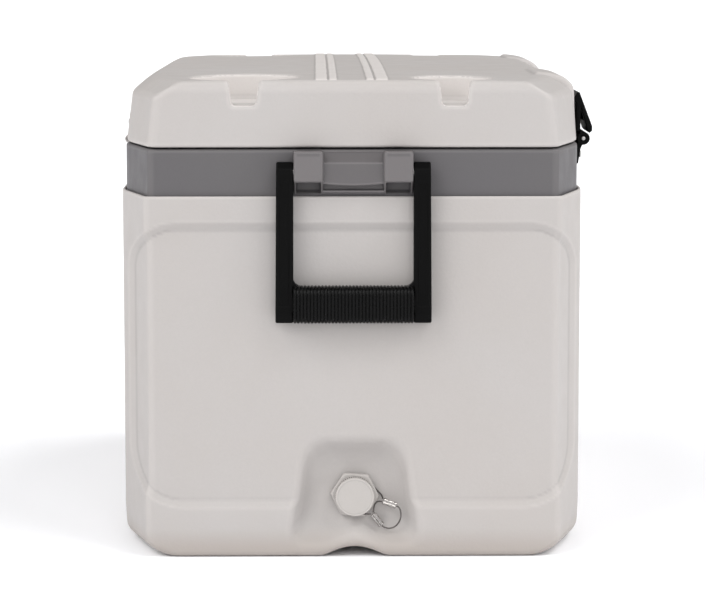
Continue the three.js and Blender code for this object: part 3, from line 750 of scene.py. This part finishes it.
def add_rim_collar():
    xs = both_ways([(24, 12.0), (33, 1.5), (51, 6.0), (60, 1.5), (165, 12.0), (207, 2.6),
                    (COLLAR_HALF_WIDTH + 1.8, 1.3)])
    ys = both_ways([(156, 12.0), (164, 1.2), (216, 4.0), (224, 1.2), (272, 6.0), (340, 3.0),
                    (COLLAR_HALF_LENGTH + 1.8, 1.4)])
    zs = grid_lines(COLLAR_BOTTOM - 1.4, [(COLLAR_BOTTOM + 3, 1.4), (348, 4.0), (369, 1.4), (383, 3.0),
                                          (COLLAR_TOP + 1.2, 1.1)])
    place(sculpt("collar_band", rim_collar, xs, ys, zs), "rim_collar", "collar_band")


# ---- food tub ----
def inner_liner(x, y, z):
    mouth = rounded_box(x, y, LINER_HALF[0], LINER_HALF[1], LINER_CORNER)
    space = meet(mouth, LINER_FLOOR - z, 16.0)
    tub = overlap(meet(mouth - LINER_WALL, LINER_FLOOR - LINER_WALL - z, 8.0), z - COLLAR_TOP)
    flange = meet(mouth - FLANGE_OUT, np.abs(z - COLLAR_TOP + DECK / 2) - DECK / 2, 1.4)
    drain = np.hypot(x - DRAIN_X, z - DRAIN_Z) - DRAIN_HOLE + np.maximum(y + 300.0, 0.0)
    body = meet(union(tub, flange), -space, 3.0)
    return overlap(body, -drain)


def add_inner_liner():
    xs = both_ways([(18, 3.0), (125, 12.0), (166, 4.0), (178, 1.4), (194, 4.0), (202, 1.2)])
    ys = both_ways([(265, 18.0), (306, 4.0), (318, 1.4), (334, 4.0), (342, 1.2)])
    zs = grid_lines(35.6, [(58, 1.5), (74, 2.4), (380, 18.0), (COLLAR_TOP + 1.0, 1.1)])
    place(sculpt("liner_tub", inner_liner, xs, ys, zs), "inner_liner", "liner_tub")


# ---- lid ----
def lid_top(x, y):
    """Height of the crowned top with its raised strips."""
    crown = LID_CROWN * (1.0 - (y / CROWN_HALF[1]) ** 2) + 1.5 * (1.0 - (x / CROWN_HALF[0]) ** 2)
    raised = 0.0 * x
    for low, high in STRIPS:
        raised = raised + ramp((0.5 * (high - low) - np.abs(x - 0.5 * (low + high))) / 1.2 + 0.5)
    return LID_EDGE + crown + STRIP_HEIGHT * raised * ramp((360.0 - np.abs(y)) / 6.0)


def lid_block(x, y, z, strips=True):
    """The lid without its humps and cups: flared sides, a sloping shoulder and the crowned top."""
    rise = z - LID_BOTTOM - 4.0
    flare = 0.123 * rise
    wall, flank = plan(x, y, LID_HALF_WIDTH - flare, LID_HALF_LENGTH - 0.0224 * rise, 8.0)
    crown = LID_CROWN * (1.0 - (y / CROWN_HALF[1]) ** 2)
    shoulder = (z - 441.5 - crown + 0.65 * flank) / 1.19
    brow = (z - LID_EDGE + np.abs(y) - LID_HALF_LENGTH + 6.0) / 1.41
    top = z - (lid_top(x, y) if strips else LID_EDGE + crown + 0.0 * x)
    upper = meet(meet(shoulder, top, 3.0), brow, 3.0)
    return meet(meet(wall, upper, 4.0), LID_BOTTOM - z, 4.0)


def latch_humps(x, y, z):
    """The two humps on the front shoulder that the latches pull down on."""
    ends = np.abs(np.abs(y) - LATCH_Y) - 60.0 + 0.15 * (z - 405.0)
    face = x - 218.2 + 0.0 * z
    shoulder = 0.742 * (x - 214.2) + 0.671 * (z - 450.6)
    brow = 0.408 * (x - 205.0) + 0.913 * (z - 457.6)
    crest = 0.094 * (x - 184.2) + 0.996 * (z - 460.6)
    profile = meet(meet(meet(face, shoulder, 4.0), brow, 4.0), crest, 4.0)
    return meet(meet(profile, ends, 6.0), 180.0 - x, 4.0)


def cup_rooms(x, y, z):
    """The cup holders and the channels that drain them over the ends."""
    out = np.abs(y)
    rooms = None
    for centre, radius, inward, channel_x in CUPS:
        reach = np.hypot(x - centre, out - HALF_LENGTH + inward)
        bowl = meet(reach - radius + 4.0 - 0.1 * (z - CUP_FLOOR), CUP_FLOOR - z, 5.0)
        half = 11.5 + 0.135 * (z - CUP_FLOOR)
        channel = meet(np.abs(x - channel_x) - half, CUP_FLOOR - 0.06 * (out - 350.0) - z, 4.0)
        room = join(bowl, overlap(channel, 338.0 - out), 3.0)
        rooms = room if rooms is None else union(rooms, room)
    return rooms


def lid_shell(x, y, z):
    rooms = cup_rooms(x, y, z)
    outside = join(lid_block(x, y, z), latch_humps(x, y, z), 3.0)
    outside = meet(outside, LID_BOTTOM - z, 1.0)
    cavity = overlap(lid_block(x, y, np.maximum(z, LID_BOTTOM + 8.0), False) + LID_WALL, LID_WALL - rooms)
    shell = overlap(meet(outside, -rooms, 3.4), -cavity)
    return meet(shell, -hinge_room(x, y, z, -217.3, 380.0, 418.3), 0.8)


def painted_light_faces(x, y, z):
    """The tops of the strips and the insides of the cup holders, which get the lighter plastic as painted
    light.
    """
    strips = np.any([(x > low) & (x < high) for low, high in STRIPS], axis=0)
    return (strips & (z > LID_EDGE + STRIP_HEIGHT)) | (cup_rooms(x, y, z) < 0.5)


def add_lid_shell():
    xs = grid_lines(-LID_HALF_WIDTH - 2.0, [
        (-213, 1.3), (-163, 2.8), (-48, 2.3), (-38, 3.0), (-13, 1.0), (10, 5.0), (36, 1.0), (50, 4.0),
        (142, 2.3), (188, 4.0), (LID_HALF_WIDTH + 2.0, 1.9)])
    ys = both_ways([(140, 14.0), (156, 2.0), (164, 1.2), (216, 4.2), (224, 1.2), (244, 5.0),
                    (HALF_LENGTH + 1, 2.2)])
    zs = grid_lines(LID_BOTTOM - 1.6, [(400, 1.6), (424, 3.2), (464, 1.5)])
    mesh = sculpt("lid_skin", lid_shell, xs, ys, zs)
    mesh.materials.append(FINISHES["shell_plastic"])
    # Painted light: the strip tops and the cup holders' insides get the lighter copy of the shell plastic.
    paint(mesh, PAINTED_LIGHT_PLASTIC, painted_light_faces)
    place(mesh, "lid_shell", "lid_skin")


PLUG_HALF = (165.0, 305.0)
PLUG_CORNER = 28.0
PLUG_BOTTOM = 381.0
SLAB_Z = (393.8, 396.8)
GASKET_OUT = 11.75  # from the plug's side to the middle of the gasket


def lid_liner(x, y, z):
    """The lid's inside face: a flat slab, and a plug with a shallow panel that reaches into the tub."""
    edge = rounded_box(x, y, PLUG_HALF[0], PLUG_HALF[1], PLUG_CORNER)
    wall, _ = plan(x, y, LID_HALF_WIDTH - LID_WALL - 1.4, LID_HALF_LENGTH - LID_WALL - 1.4, 8.0)
    slab = overlap(wall, SLAB_Z[0] - z, z - SLAB_Z[1])
    low = PLUG_BOTTOM + 2.4 * ramp(-(edge + 34.0) / 9.0)
    plug = overlap(meet(edge, low - z, 6.0), z - SLAB_Z[1])
    inside = meet(edge + 3.0, low + 2.6 - z, 3.0)
    groove = overlap(np.abs(edge - GASKET_OUT) - 3.6, z - 395.5)
    return overlap(join(slab, plug, 2.0), -inside, -groove)


def add_lid_liner():
    xs = both_ways([(110, 12.0), (136, 2.6), (156, 4.0), (182, 1.4), (LID_HALF_WIDTH - 2, 3.2)])
    ys = both_ways([(250, 16.0), (276, 2.6), (296, 4.0), (322, 1.4), (LID_HALF_LENGTH - 2, 3.2)])
    zs = grid_lines(379.0, [(398.0, 1.1)])
    place(sculpt("lid_inner_panel", lid_liner, xs, ys, zs), "lid_liner", "lid_inner_panel")


def lid_gasket(x, y, z):
    """A soft seal with two rounded lips."""
    edge = rounded_box(x, y, PLUG_HALF[0], PLUG_HALF[1], PLUG_CORNER) - GASKET_OUT
    lips = np.hypot(np.abs(edge) - 1.7, z - 393.7) - 1.35
    web = rounded_box(edge, z - 394.1, 3.1, 1.0, 0.4)
    return join(lips, web, 0.8)


def add_lid_gasket():
    xs = both_ways([(130, 14.0), (170, 3.0), (183, 0.9)])
    ys = both_ways([(270, 20.0), (310, 3.0), (323, 0.9)])
    zs = grid_lines(391.6, [(396.0, 0.5)])
    place(sculpt("lid_seal", lid_gasket, xs, ys, zs), "lid_gasket", "lid_seal")


# ---- handles ----
FACE_OUT = COLLAR_HALF_LENGTH + 0.3
# Outlines seen from the side, as (distance out from the chest's middle, height).
BRACKET_BLOCK = [(FACE_OUT, 350), (370, 350), (386, 363), (386, 391), (FACE_OUT, 391)]
BRACKET_BAR = [(FACE_OUT, 386), (377.6, 377.8), (377.6, 340), (380, 340), (380, 380), (FACE_OUT, 391)]
BAR_HALF = 29.5
BAIL_ARM = [(371.2, 230), (373, 228.2), (381.5, 228.2), (385, 236), (385, 374.5), (380.5, 380.6),
            (372.8, 380.6), (371.2, 379)]
CORE_HALF = 59.0
WEB_X, WEB_Z = 48.4, 272.0


def handle_bracket(x, y, z):
    """Two hollow blocks that hold the pins, and a bar between them."""
    out, across = -y, np.abs(x)
    blocks = meet(polygon(out, z, BRACKET_BLOCK, 1.6), block_side(x), 3.0)
    hollow = bracket_hollow(x, y, z)
    sag = 1.8 * (1.0 - (across / 29.0) ** 2)
    bar = overlap(polygon(out, z, BRACKET_BAR, 0.9), across - BAR_HALF)
    bar = meet(bar, 360.2 - sag - z, 1.4)
    rib = overlap(np.abs(z - 352.5) - 1.1, across - BAR_HALF)
    rib = meet(overlap(FACE_OUT - out, out - 372.4), rib, 0.9)
    plate = overlap(np.abs(out - FACE_OUT - 1.0) - 1.0, np.abs(z - 370.5) - 20.5)
    plate = meet(plate, across - BLOCK_X[1], 1.0)
    whole = union(join(blocks, bar, 1.2), rib, plate)
    whole = meet(whole, -hollow, 0.8)
    bore = np.hypot(out - PIVOT_OUT, z - PIVOT_Z) - 4.8 + np.maximum(45.0 - across, 0.0)
    return overlap(whole, -bore)


def handle_bail(x, y, z):
    """Two flat arms that splay a little, joined by the bar inside the grip, with a web in each corner."""
    out, across = -y, np.abs(x)
    splay = 0.0095 * (372.0 - z)
    side = np.abs(across - 64.8 - 0.5 * splay) - 8.1 - 0.3 * splay
    face = meet(np.abs(across - 65.2 - 0.5 * splay) - 4.6, overlap(out - 400, 245 - z), 1.0)
    face = overlap(face, z - 362, 384.4 - out)
    arms = meet(meet(polygon(out, z, BAIL_ARM, 0.8), side, 1.6), -face, 0.8)
    bore = np.hypot(out - PIVOT_OUT, z - PIVOT_Z) - 4.9
    arms = meet(arms, -bore, 0.6)
    core = meet(overlap(across - CORE_HALF, np.abs(out - 380.0) - 5.0), np.abs(z - 246.0) - 8.0, 2.0)
    web = overlap(9.0 - np.hypot(across - WEB_X, z - WEB_Z), WEB_X - across, across - CORE_HALF)
    web = meet(overlap(web, z - WEB_Z, 261.0 - z), np.abs(out - 378.6) - 5.6, 1.4)
    return union(arms, core, web)


GRIP_RIBS = 35


def handle_grip():
    """The rubber sleeve: fine ribs all along a rounded section."""
    low, high = lowest("handle_grip_near"), highest("handle_grip_near")
    half_x = high[0]
    middle = np.array([-(low[1] + high[1]) / 2, (low[2] + high[2]) / 2])
    half_out, half_z, corner = (high[1] - low[1]) / 2, (high[2] - low[2]) / 2, 9.0
    section = []
    for quarter, (su, sv) in enumerate(((1, 1), (-1, 1), (-1, -1), (1, -1))):
        for i in range(14):
            angle = math.radians(90 * quarter + 90 * i / 13)
            normal = np.array([math.cos(angle), math.sin(angle)])
            centre = np.array([su * (half_out - corner), sv * (half_z - corner)])
            section.append((centre + corner * normal, normal))
    stations = np.linspace(-half_x, half_x, GRIP_RIBS * 12 + 1)
    points = []
    for x in stations:
        phase = (x + half_x) / (2 * half_x) * GRIP_RIBS
        wave = abs(math.sin(math.pi * phase)) ** 0.7
        end = min(1.0, (half_x - abs(x)) / 2.0)
        sink = 1.25 * (1.0 - wave) + 0.9 * (1.0 - end) ** 2
        for point, normal in section:
            out, height = middle + point - normal * sink
            points.append((x, -out, height))
    return mesh_of("grip_near", points, tube_faces(len(stations), len(section)))


def add_handles():
    bracket = sculpt("bracket_near", handle_bracket, both_ways([(26, 2.6), (58, 0.75)]),
                     grid_lines(-388, [(-363.5, 0.8)]), grid_lines(348, [(366, 0.8), (376, 1.2), (393, 0.8)]))
    bail = sculpt("bail_near", handle_bail, both_ways([(46, 8.0), (76, 0.9)]),
                  grid_lines(-387, [(-369, 0.9)]), grid_lines(226, [(276, 1.1), (362, 4.0), (383, 0.9)]))
    bracket.materials.append(BRACKET_PLASTIC)
    place_twice("handle_bracket", bracket, "near", "far", HALF_TURN)
    place_twice("handle_bail", bail, "near", "far", HALF_TURN)
    place_twice("handle_grip", handle_grip(), "near", "far", HALF_TURN)


# ---- drain ----
def hexagon(a, b, circumradius, turn):
    """Distance outside a hexagon in the (a, b) plane."""
    apothem = circumradius * math.cos(math.pi / 6)
    flats = None
    for i in range(3):
        angle = math.radians(turn + 60 * i)
        flat = np.abs(a * math.cos(angle) + b * math.sin(angle)) - apothem
        flats = flat if flats is None else meet(flats, flat, 1.6)
    return flats


def drain_spout(x, y, z):
    out = -y
    radius = np.hypot(x - DRAIN_X, z - DRAIN_Z)
    flange = meet(hexagon(x - DRAIN_X, z - DRAIN_Z, 23.7, 86.25), np.abs(out - 356.9) - 2.5, 1.5)
    flange = meet(flange, radius + 0.6 * (out - 359.4) - 22.1, 1.0)
    thread = 0.5 * np.abs(np.mod(out, 2.5) / 1.25 - 1.0)
    tube = meet(radius - 12.8 + thread, overlap(301.0 - out, out - 365.5), 1.0)
    return meet(join(flange, tube, 0.8), 9.5 - radius, 0.8)


CAP_OUT = (360.0, 371.0)


def drain_cap(x, y, z):
    """A shallow knurled cap with a groove for the tether behind its rim."""
    out = -y
    dx, dz = x - DRAIN_X, z - DRAIN_Z
    radius = np.hypot(dx, dz)
    knurl = 0.34 * np.cos(56.0 * np.arctan2(dz, dx))
    rim = radius - 18.5 - np.where(out < 369.2, knurl, 0.0) * np.clip((369.2 - out) / 0.8, 0.0, 1.0)
    body = meet(rim, overlap(CAP_OUT[0] - out, out - CAP_OUT[1]), 1.3)
    dish = meet(radius - 17.0, CAP_OUT[1] - 0.2 - out, 0.4)
    groove = meet(16.2 - radius, np.abs(out - 362.7) - 1.1, 0.4)
    bore = meet(radius - DRAIN_HOLE, out - 368.0, 0.8)
    return meet(meet(meet(body, -dish, 0.8), -groove, 0.4), -bore, 0.6)


def drain_lock_nut(x, y, z):
    out = -y
    radius = np.hypot(x - DRAIN_X, z - DRAIN_Z)
    nut = meet(hexagon(x - DRAIN_X, z - DRAIN_Z, 20.8, 30.0), np.abs(out - 307.3) - 4.3, 1.6)
    nut = meet(nut, radius - 0.6 * (out - 303.0) - 19.8, 1.0)
    return meet(nut, DRAIN_HOLE - radius, 0.8)


def add_drain():
    def across(half, spacing):
        return [grid_lines(c - half, [(c + half, spacing)]) for c in (DRAIN_X, DRAIN_Z)]

    xs, zs = across(25.5, 0.8)
    spout = sculpt("spout", drain_spout, xs, grid_lines(-367, [(-352, 0.7), (-299.5, 1.0)]), zs)
    place(spout, "drain_spout")
    xs, zs = across(19.2, 0.42)
    cap = sculpt("cap", drain_cap, xs, grid_lines(-372, [(-359, 0.45)]), zs)
    place(cap, "drain_cap")
    xs, zs = across(22.5, 0.9)
    nut = sculpt("lock_nut", drain_lock_nut, xs, grid_lines(-313, [(-301.5, 0.8)]), zs)
    place(nut, "drain_lock_nut")


# ---- latches ----
# Outlines seen from the end, as (x, height).
FLAP = [(222.2, 401.2), (226.4, 401.2), (227, 424), (233.6, 401.4), (235.4, 399.2), (238.3, 401.5),
        (238.3, 406), (225.6, 439.5), (223, 440), (221.8, 437), (219.4, 434.5), (219.4, 431), (222, 429)]
STRAP = [(223.4, 394), (229.5, 394), (229, 402), (222.6, 402)]
BASE_FOOT = [(221.5, 369), (224.6, 369), (227.4, 387), (221.5, 387)]
BASE_WEB = [(221.5, 384), (227.0, 384), (230, 392), (229.5, 396), (224, 392)]
KNUCKLE = 6.4
KNUCKLE_HALF = 11.7
LATCH_BORE = 2.3


def latch_lever(x, y, z):
    across = np.abs(y + LATCH_Y)
    flap = meet(polygon(x, z, FLAP, 0.45), across - LATCH_HALF, 1.6)
    dish = rounded_box(across, z - 420.0, 22.0, 9.0, 5.0)
    flap = meet(flap, -overlap(dish, 1.1 - (238.3 - 0.379 * (z - 406.0) - x)), 0.8)
    strap = meet(polygon(x, z, STRAP, 0.4), across - KNUCKLE_HALF, 0.8)
    radius = np.hypot(x - LATCH_X, z - LATCH_Z)
    barrel = meet(radius - KNUCKLE, across - KNUCKLE_HALF, 0.8)
    return meet(union(flap, join(strap, barrel, 1.5)), LATCH_BORE - radius, 0.4)


def latch_base(x, y, z):
    across = np.abs(y + LATCH_Y)
    foot = meet(polygon(x, z, BASE_FOOT, 0.5), across - LATCH_HALF, 2.0)
    cheeks = overlap(KNUCKLE_HALF + 0.3 - across, across - LATCH_HALF)
    web = meet(polygon(x, z, BASE_WEB, 0.4), cheeks, 0.8)
    radius = np.hypot(x - LATCH_X, z - LATCH_Z)
    barrel = meet(radius - KNUCKLE, cheeks, 0.9)
    solid = meet(union(foot, join(web, barrel, 1.2)), LATCH_BORE - radius, 0.4)
    return meet(solid, 1.9 - np.hypot(across - 20.0, z - 378.0), 0.4)


def add_latches():
    reach = LATCH_HALF + 1.2
    ys = grid_lines(-LATCH_Y - reach, [(-LATCH_Y - 9, 0.9), (-LATCH_Y + 9, 1.6), (-LATCH_Y + reach, 0.9)])
    lever = sculpt("lever_near", latch_lever, grid_lines(218.2, [(239.6, 0.62)]), ys,
                   grid_lines(386.5, [(441.2, 0.75)]))
    base = sculpt("base_near", latch_base, grid_lines(220.6, [(237, 0.62)]), ys,
                  grid_lines(368, [(401.6, 0.75)]))
    along = Matrix.Translation((0, 2 * LATCH_Y * MM, 0))
    place_twice("latch_lever", lever, "near", "far", along)
    place_twice("latch_base", base, "near", "far", along)


# ---- hinges ----
def hinge_leaf(x, y, z, leaf, link, knuckles, hole_z):
    """A plate with two screw holes, linked to its knuckles. leaf is the plate's (x, half thickness, z, half
    height), and link is the (z, half height) of what joins the two."""
    across = np.abs(y - HINGE_Y)
    thick = np.abs(x - leaf[0]) - leaf[1]
    plate = meet(overlap(thick, across - HINGE_HALF), np.abs(z - leaf[2]) - leaf[3], 1.0)
    web = overlap(thick, knuckles, np.abs(z - link[0]) - link[1])
    radius = np.hypot(x - HINGE_X, z - HINGE_Z)
    whole = join(union(plate, web), meet(radius - HINGE_KNUCKLE, knuckles, 0.7), 1.0)
    whole = meet(whole, 1.8 - np.hypot(across - 18.0, z - hole_z), 0.4)
    return meet(whole, 1.9 - radius, 0.4)


def hinge_body_leaf(x, y, z):
    across = np.abs(y - HINGE_Y)
    knuckles = overlap(10.2 - across, across - HINGE_HALF)
    return hinge_leaf(x, y, z, (-220.25, 1.35, 377.0, 11.0), (389.5, 3.5), knuckles, 374.0)


def hinge_lid_leaf(x, y, z):
    knuckle = np.abs(y - HINGE_Y) - 9.9
    return hinge_leaf(x, y, z, (-219.1, 1.5, 407.6, 10.4), (395.5, 3.0), knuckle, 409.0)


def add_hinges():
    ys = grid_lines(HINGE_Y - 31, [(HINGE_Y + 31, 0.9)])
    xs = grid_lines(-226.4, [(-216.6, 0.6)])
    body = sculpt("body_leaf", hinge_body_leaf, xs, ys, grid_lines(365, [(397.6, 0.8)]))
    lid = sculpt("lid_leaf", hinge_lid_leaf, xs, ys, grid_lines(388, [(419, 0.8)]))
    along = Matrix.Translation((0, -2 * HINGE_Y * MM, 0))
    place_twice("hinge_body_leaf", body, "right", "left", along, row="rear_")
    place_twice("hinge_lid_leaf", lid, "right", "left", along, row="rear_")


# ---- screws and pins ----
def nodes_with(word):
    return sorted(node for node in frame["nodes"] if word in node)


def screw_mesh(name, head_radius, length):
    """A pan-head screw with a cross recess, its head's underside at x = 0 and its shank along +X."""
    def field(x, y, z):
        radius = np.hypot(y, z)
        head = meet(radius - head_radius, overlap(-x - 1.5, x), 1.0)
        off_y, off_z = np.abs(y), np.abs(z)
        slot_y = overlap(off_y - 0.42, off_z - 1.75)
        slot_z = overlap(off_z - 0.42, off_y - 1.75)
        head = meet(head, -overlap(union(slot_y, slot_z), x + 0.55), 0.25)
        shank = meet(radius - 1.5, overlap(-0.5 - x, x - length), 0.5)
        return join(head, shank, 0.3)

    around = grid_lines(-head_radius - 0.5, [(head_radius + 0.5, 0.28)])
    xs = grid_lines(-2.0, [(0.6, 0.28), (length + 0.6, 0.8)])
    return sculpt(name, field, xs, around, around)


def add_screws():
    meshes = {"hinge": screw_mesh("hinge_screw", 3.0, 5.0), "latch": screw_mesh("latch_screw", 3.5, 9.5)}
    head_height = 1.4 * MM
    for node in nodes_with("_screw_"):
        kind = node.split("_")[0]
        low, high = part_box(node)
        middle = (low + high) / 2
        piece = place(meshes[kind], node)
        if kind == "latch":
            under_head = Matrix.Translation((high.x - head_height, middle.y, middle.z)) @ HALF_TURN
        else:
            under_head = Matrix.Translation((low.x + head_height, middle.y, middle.z))
        piece.matrix_world = under_head


def pin_mesh(name, radius, half_length):
    """A pin along Y with rounded ends and a turned groove near each end."""
    def field(x, y, z):
        along = np.abs(y)
        groove = 0.25 * np.exp(-((along - half_length + 2.2) / 0.5) ** 2)
        return meet(np.hypot(x, z) - radius + groove, along - half_length, 0.35 * radius)

    around = grid_lines(-radius - 0.6, [(radius + 0.6, radius / 5.5)])
    return sculpt(name, field, around, both_ways([(half_length - 5, 3.0), (half_length + 0.6, 0.3)]), around)


def add_pins():
    for node in nodes_with("_pin_"):
        low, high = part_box(node)
        size = (high - low) / MM
        along_x = size.x > size.y
        mesh = pin_mesh(f"{node}_mesh", size.z / 2, (size.x if along_x else size.y) / 2)
        if along_x:
            mesh.transform(Matrix.Rotation(math.pi / 2, 4, "Z"))
        mesh.transform(Matrix.Translation((low + high) / 2))
        place(mesh, node)


# ---- carried-over CAD nodes ----
def dress_frame_nodes():
    for node in ("insulation_core", "lid_insulation", "drain_washer", "drain_cap_seal"):
        data = frame["nodes"][node].data
        data.materials.clear()
        data.materials.append(FINISHES[NODE_SLOT[node]])


# ---- studio ----
def add_floor():
    bpy.ops.mesh.primitive_plane_add(size=120.0, location=(0, 0, -0.0004))
    floor = bpy.context.object
    floor.name = "floor"
    white = {"Base Color": (0.965, 0.97, 0.99, 1.0), "Roughness": 1.0, "Specular IOR Level": 0.0}
    floor.data.materials.append(Finish("studio_floor").surface(white))


LIGHTS = [  # name, degrees to the right of the drain end, degrees up, width in degrees, strength
    ("left_high", -45, 45, 30, 1.15), ("left_front", -45, 15, 40, 0.35), ("left_side", -80, 25, 30, 0.75),
    ("front", 8, 25, 30, 0.80), ("key", 45, 50, 20, 0.70), ("right_side", 80, 12, 40, 1.10),
    ("back_left", -110, 45, 50, 0.45), ("back_right", 110, 45, 50, 1.30), ("strip_left", -19, 9, 6, 0.12),
    ("strip_right", 19, 9, 6, 0.12),
]


def add_light(name, azimuth, elevation, width, strength):
    data = bpy.data.lights.new(name, "SUN")
    data.energy = strength
    data.angle = math.radians(width)
    light = bpy.data.objects.new(name, data)
    bpy.context.scene.collection.objects.link(light)
    turn, rise = math.radians(azimuth), math.radians(elevation)
    towards = Vector((math.sin(turn) * math.cos(rise), -math.cos(turn) * math.cos(rise), math.sin(rise)))
    light.location = 3.0 * towards
    light.rotation_euler = towards.to_track_quat("Z", "Y").to_euler()


def add_studio():
    scene = bpy.context.scene
    scene.view_settings.view_transform = "Standard"
    world = bpy.data.worlds.new("studio")
    scene.world = world
    world.use_nodes = True
    background = world.node_tree.nodes["Background"].inputs
    background["Color"].default_value = (1.0, 0.995, 0.99, 1.0)
    background["Strength"].default_value = 0.25
    add_floor()
    for light in LIGHTS:
        add_light(*light)


add_tether()
add_outer_shell()
add_rim_collar()
add_inner_liner()
add_lid_shell()
add_lid_liner()
add_lid_gasket()
add_handles()
add_drain()
add_latches()
add_hinges()
add_screws()
add_pins()
dress_frame_nodes()
add_studio()
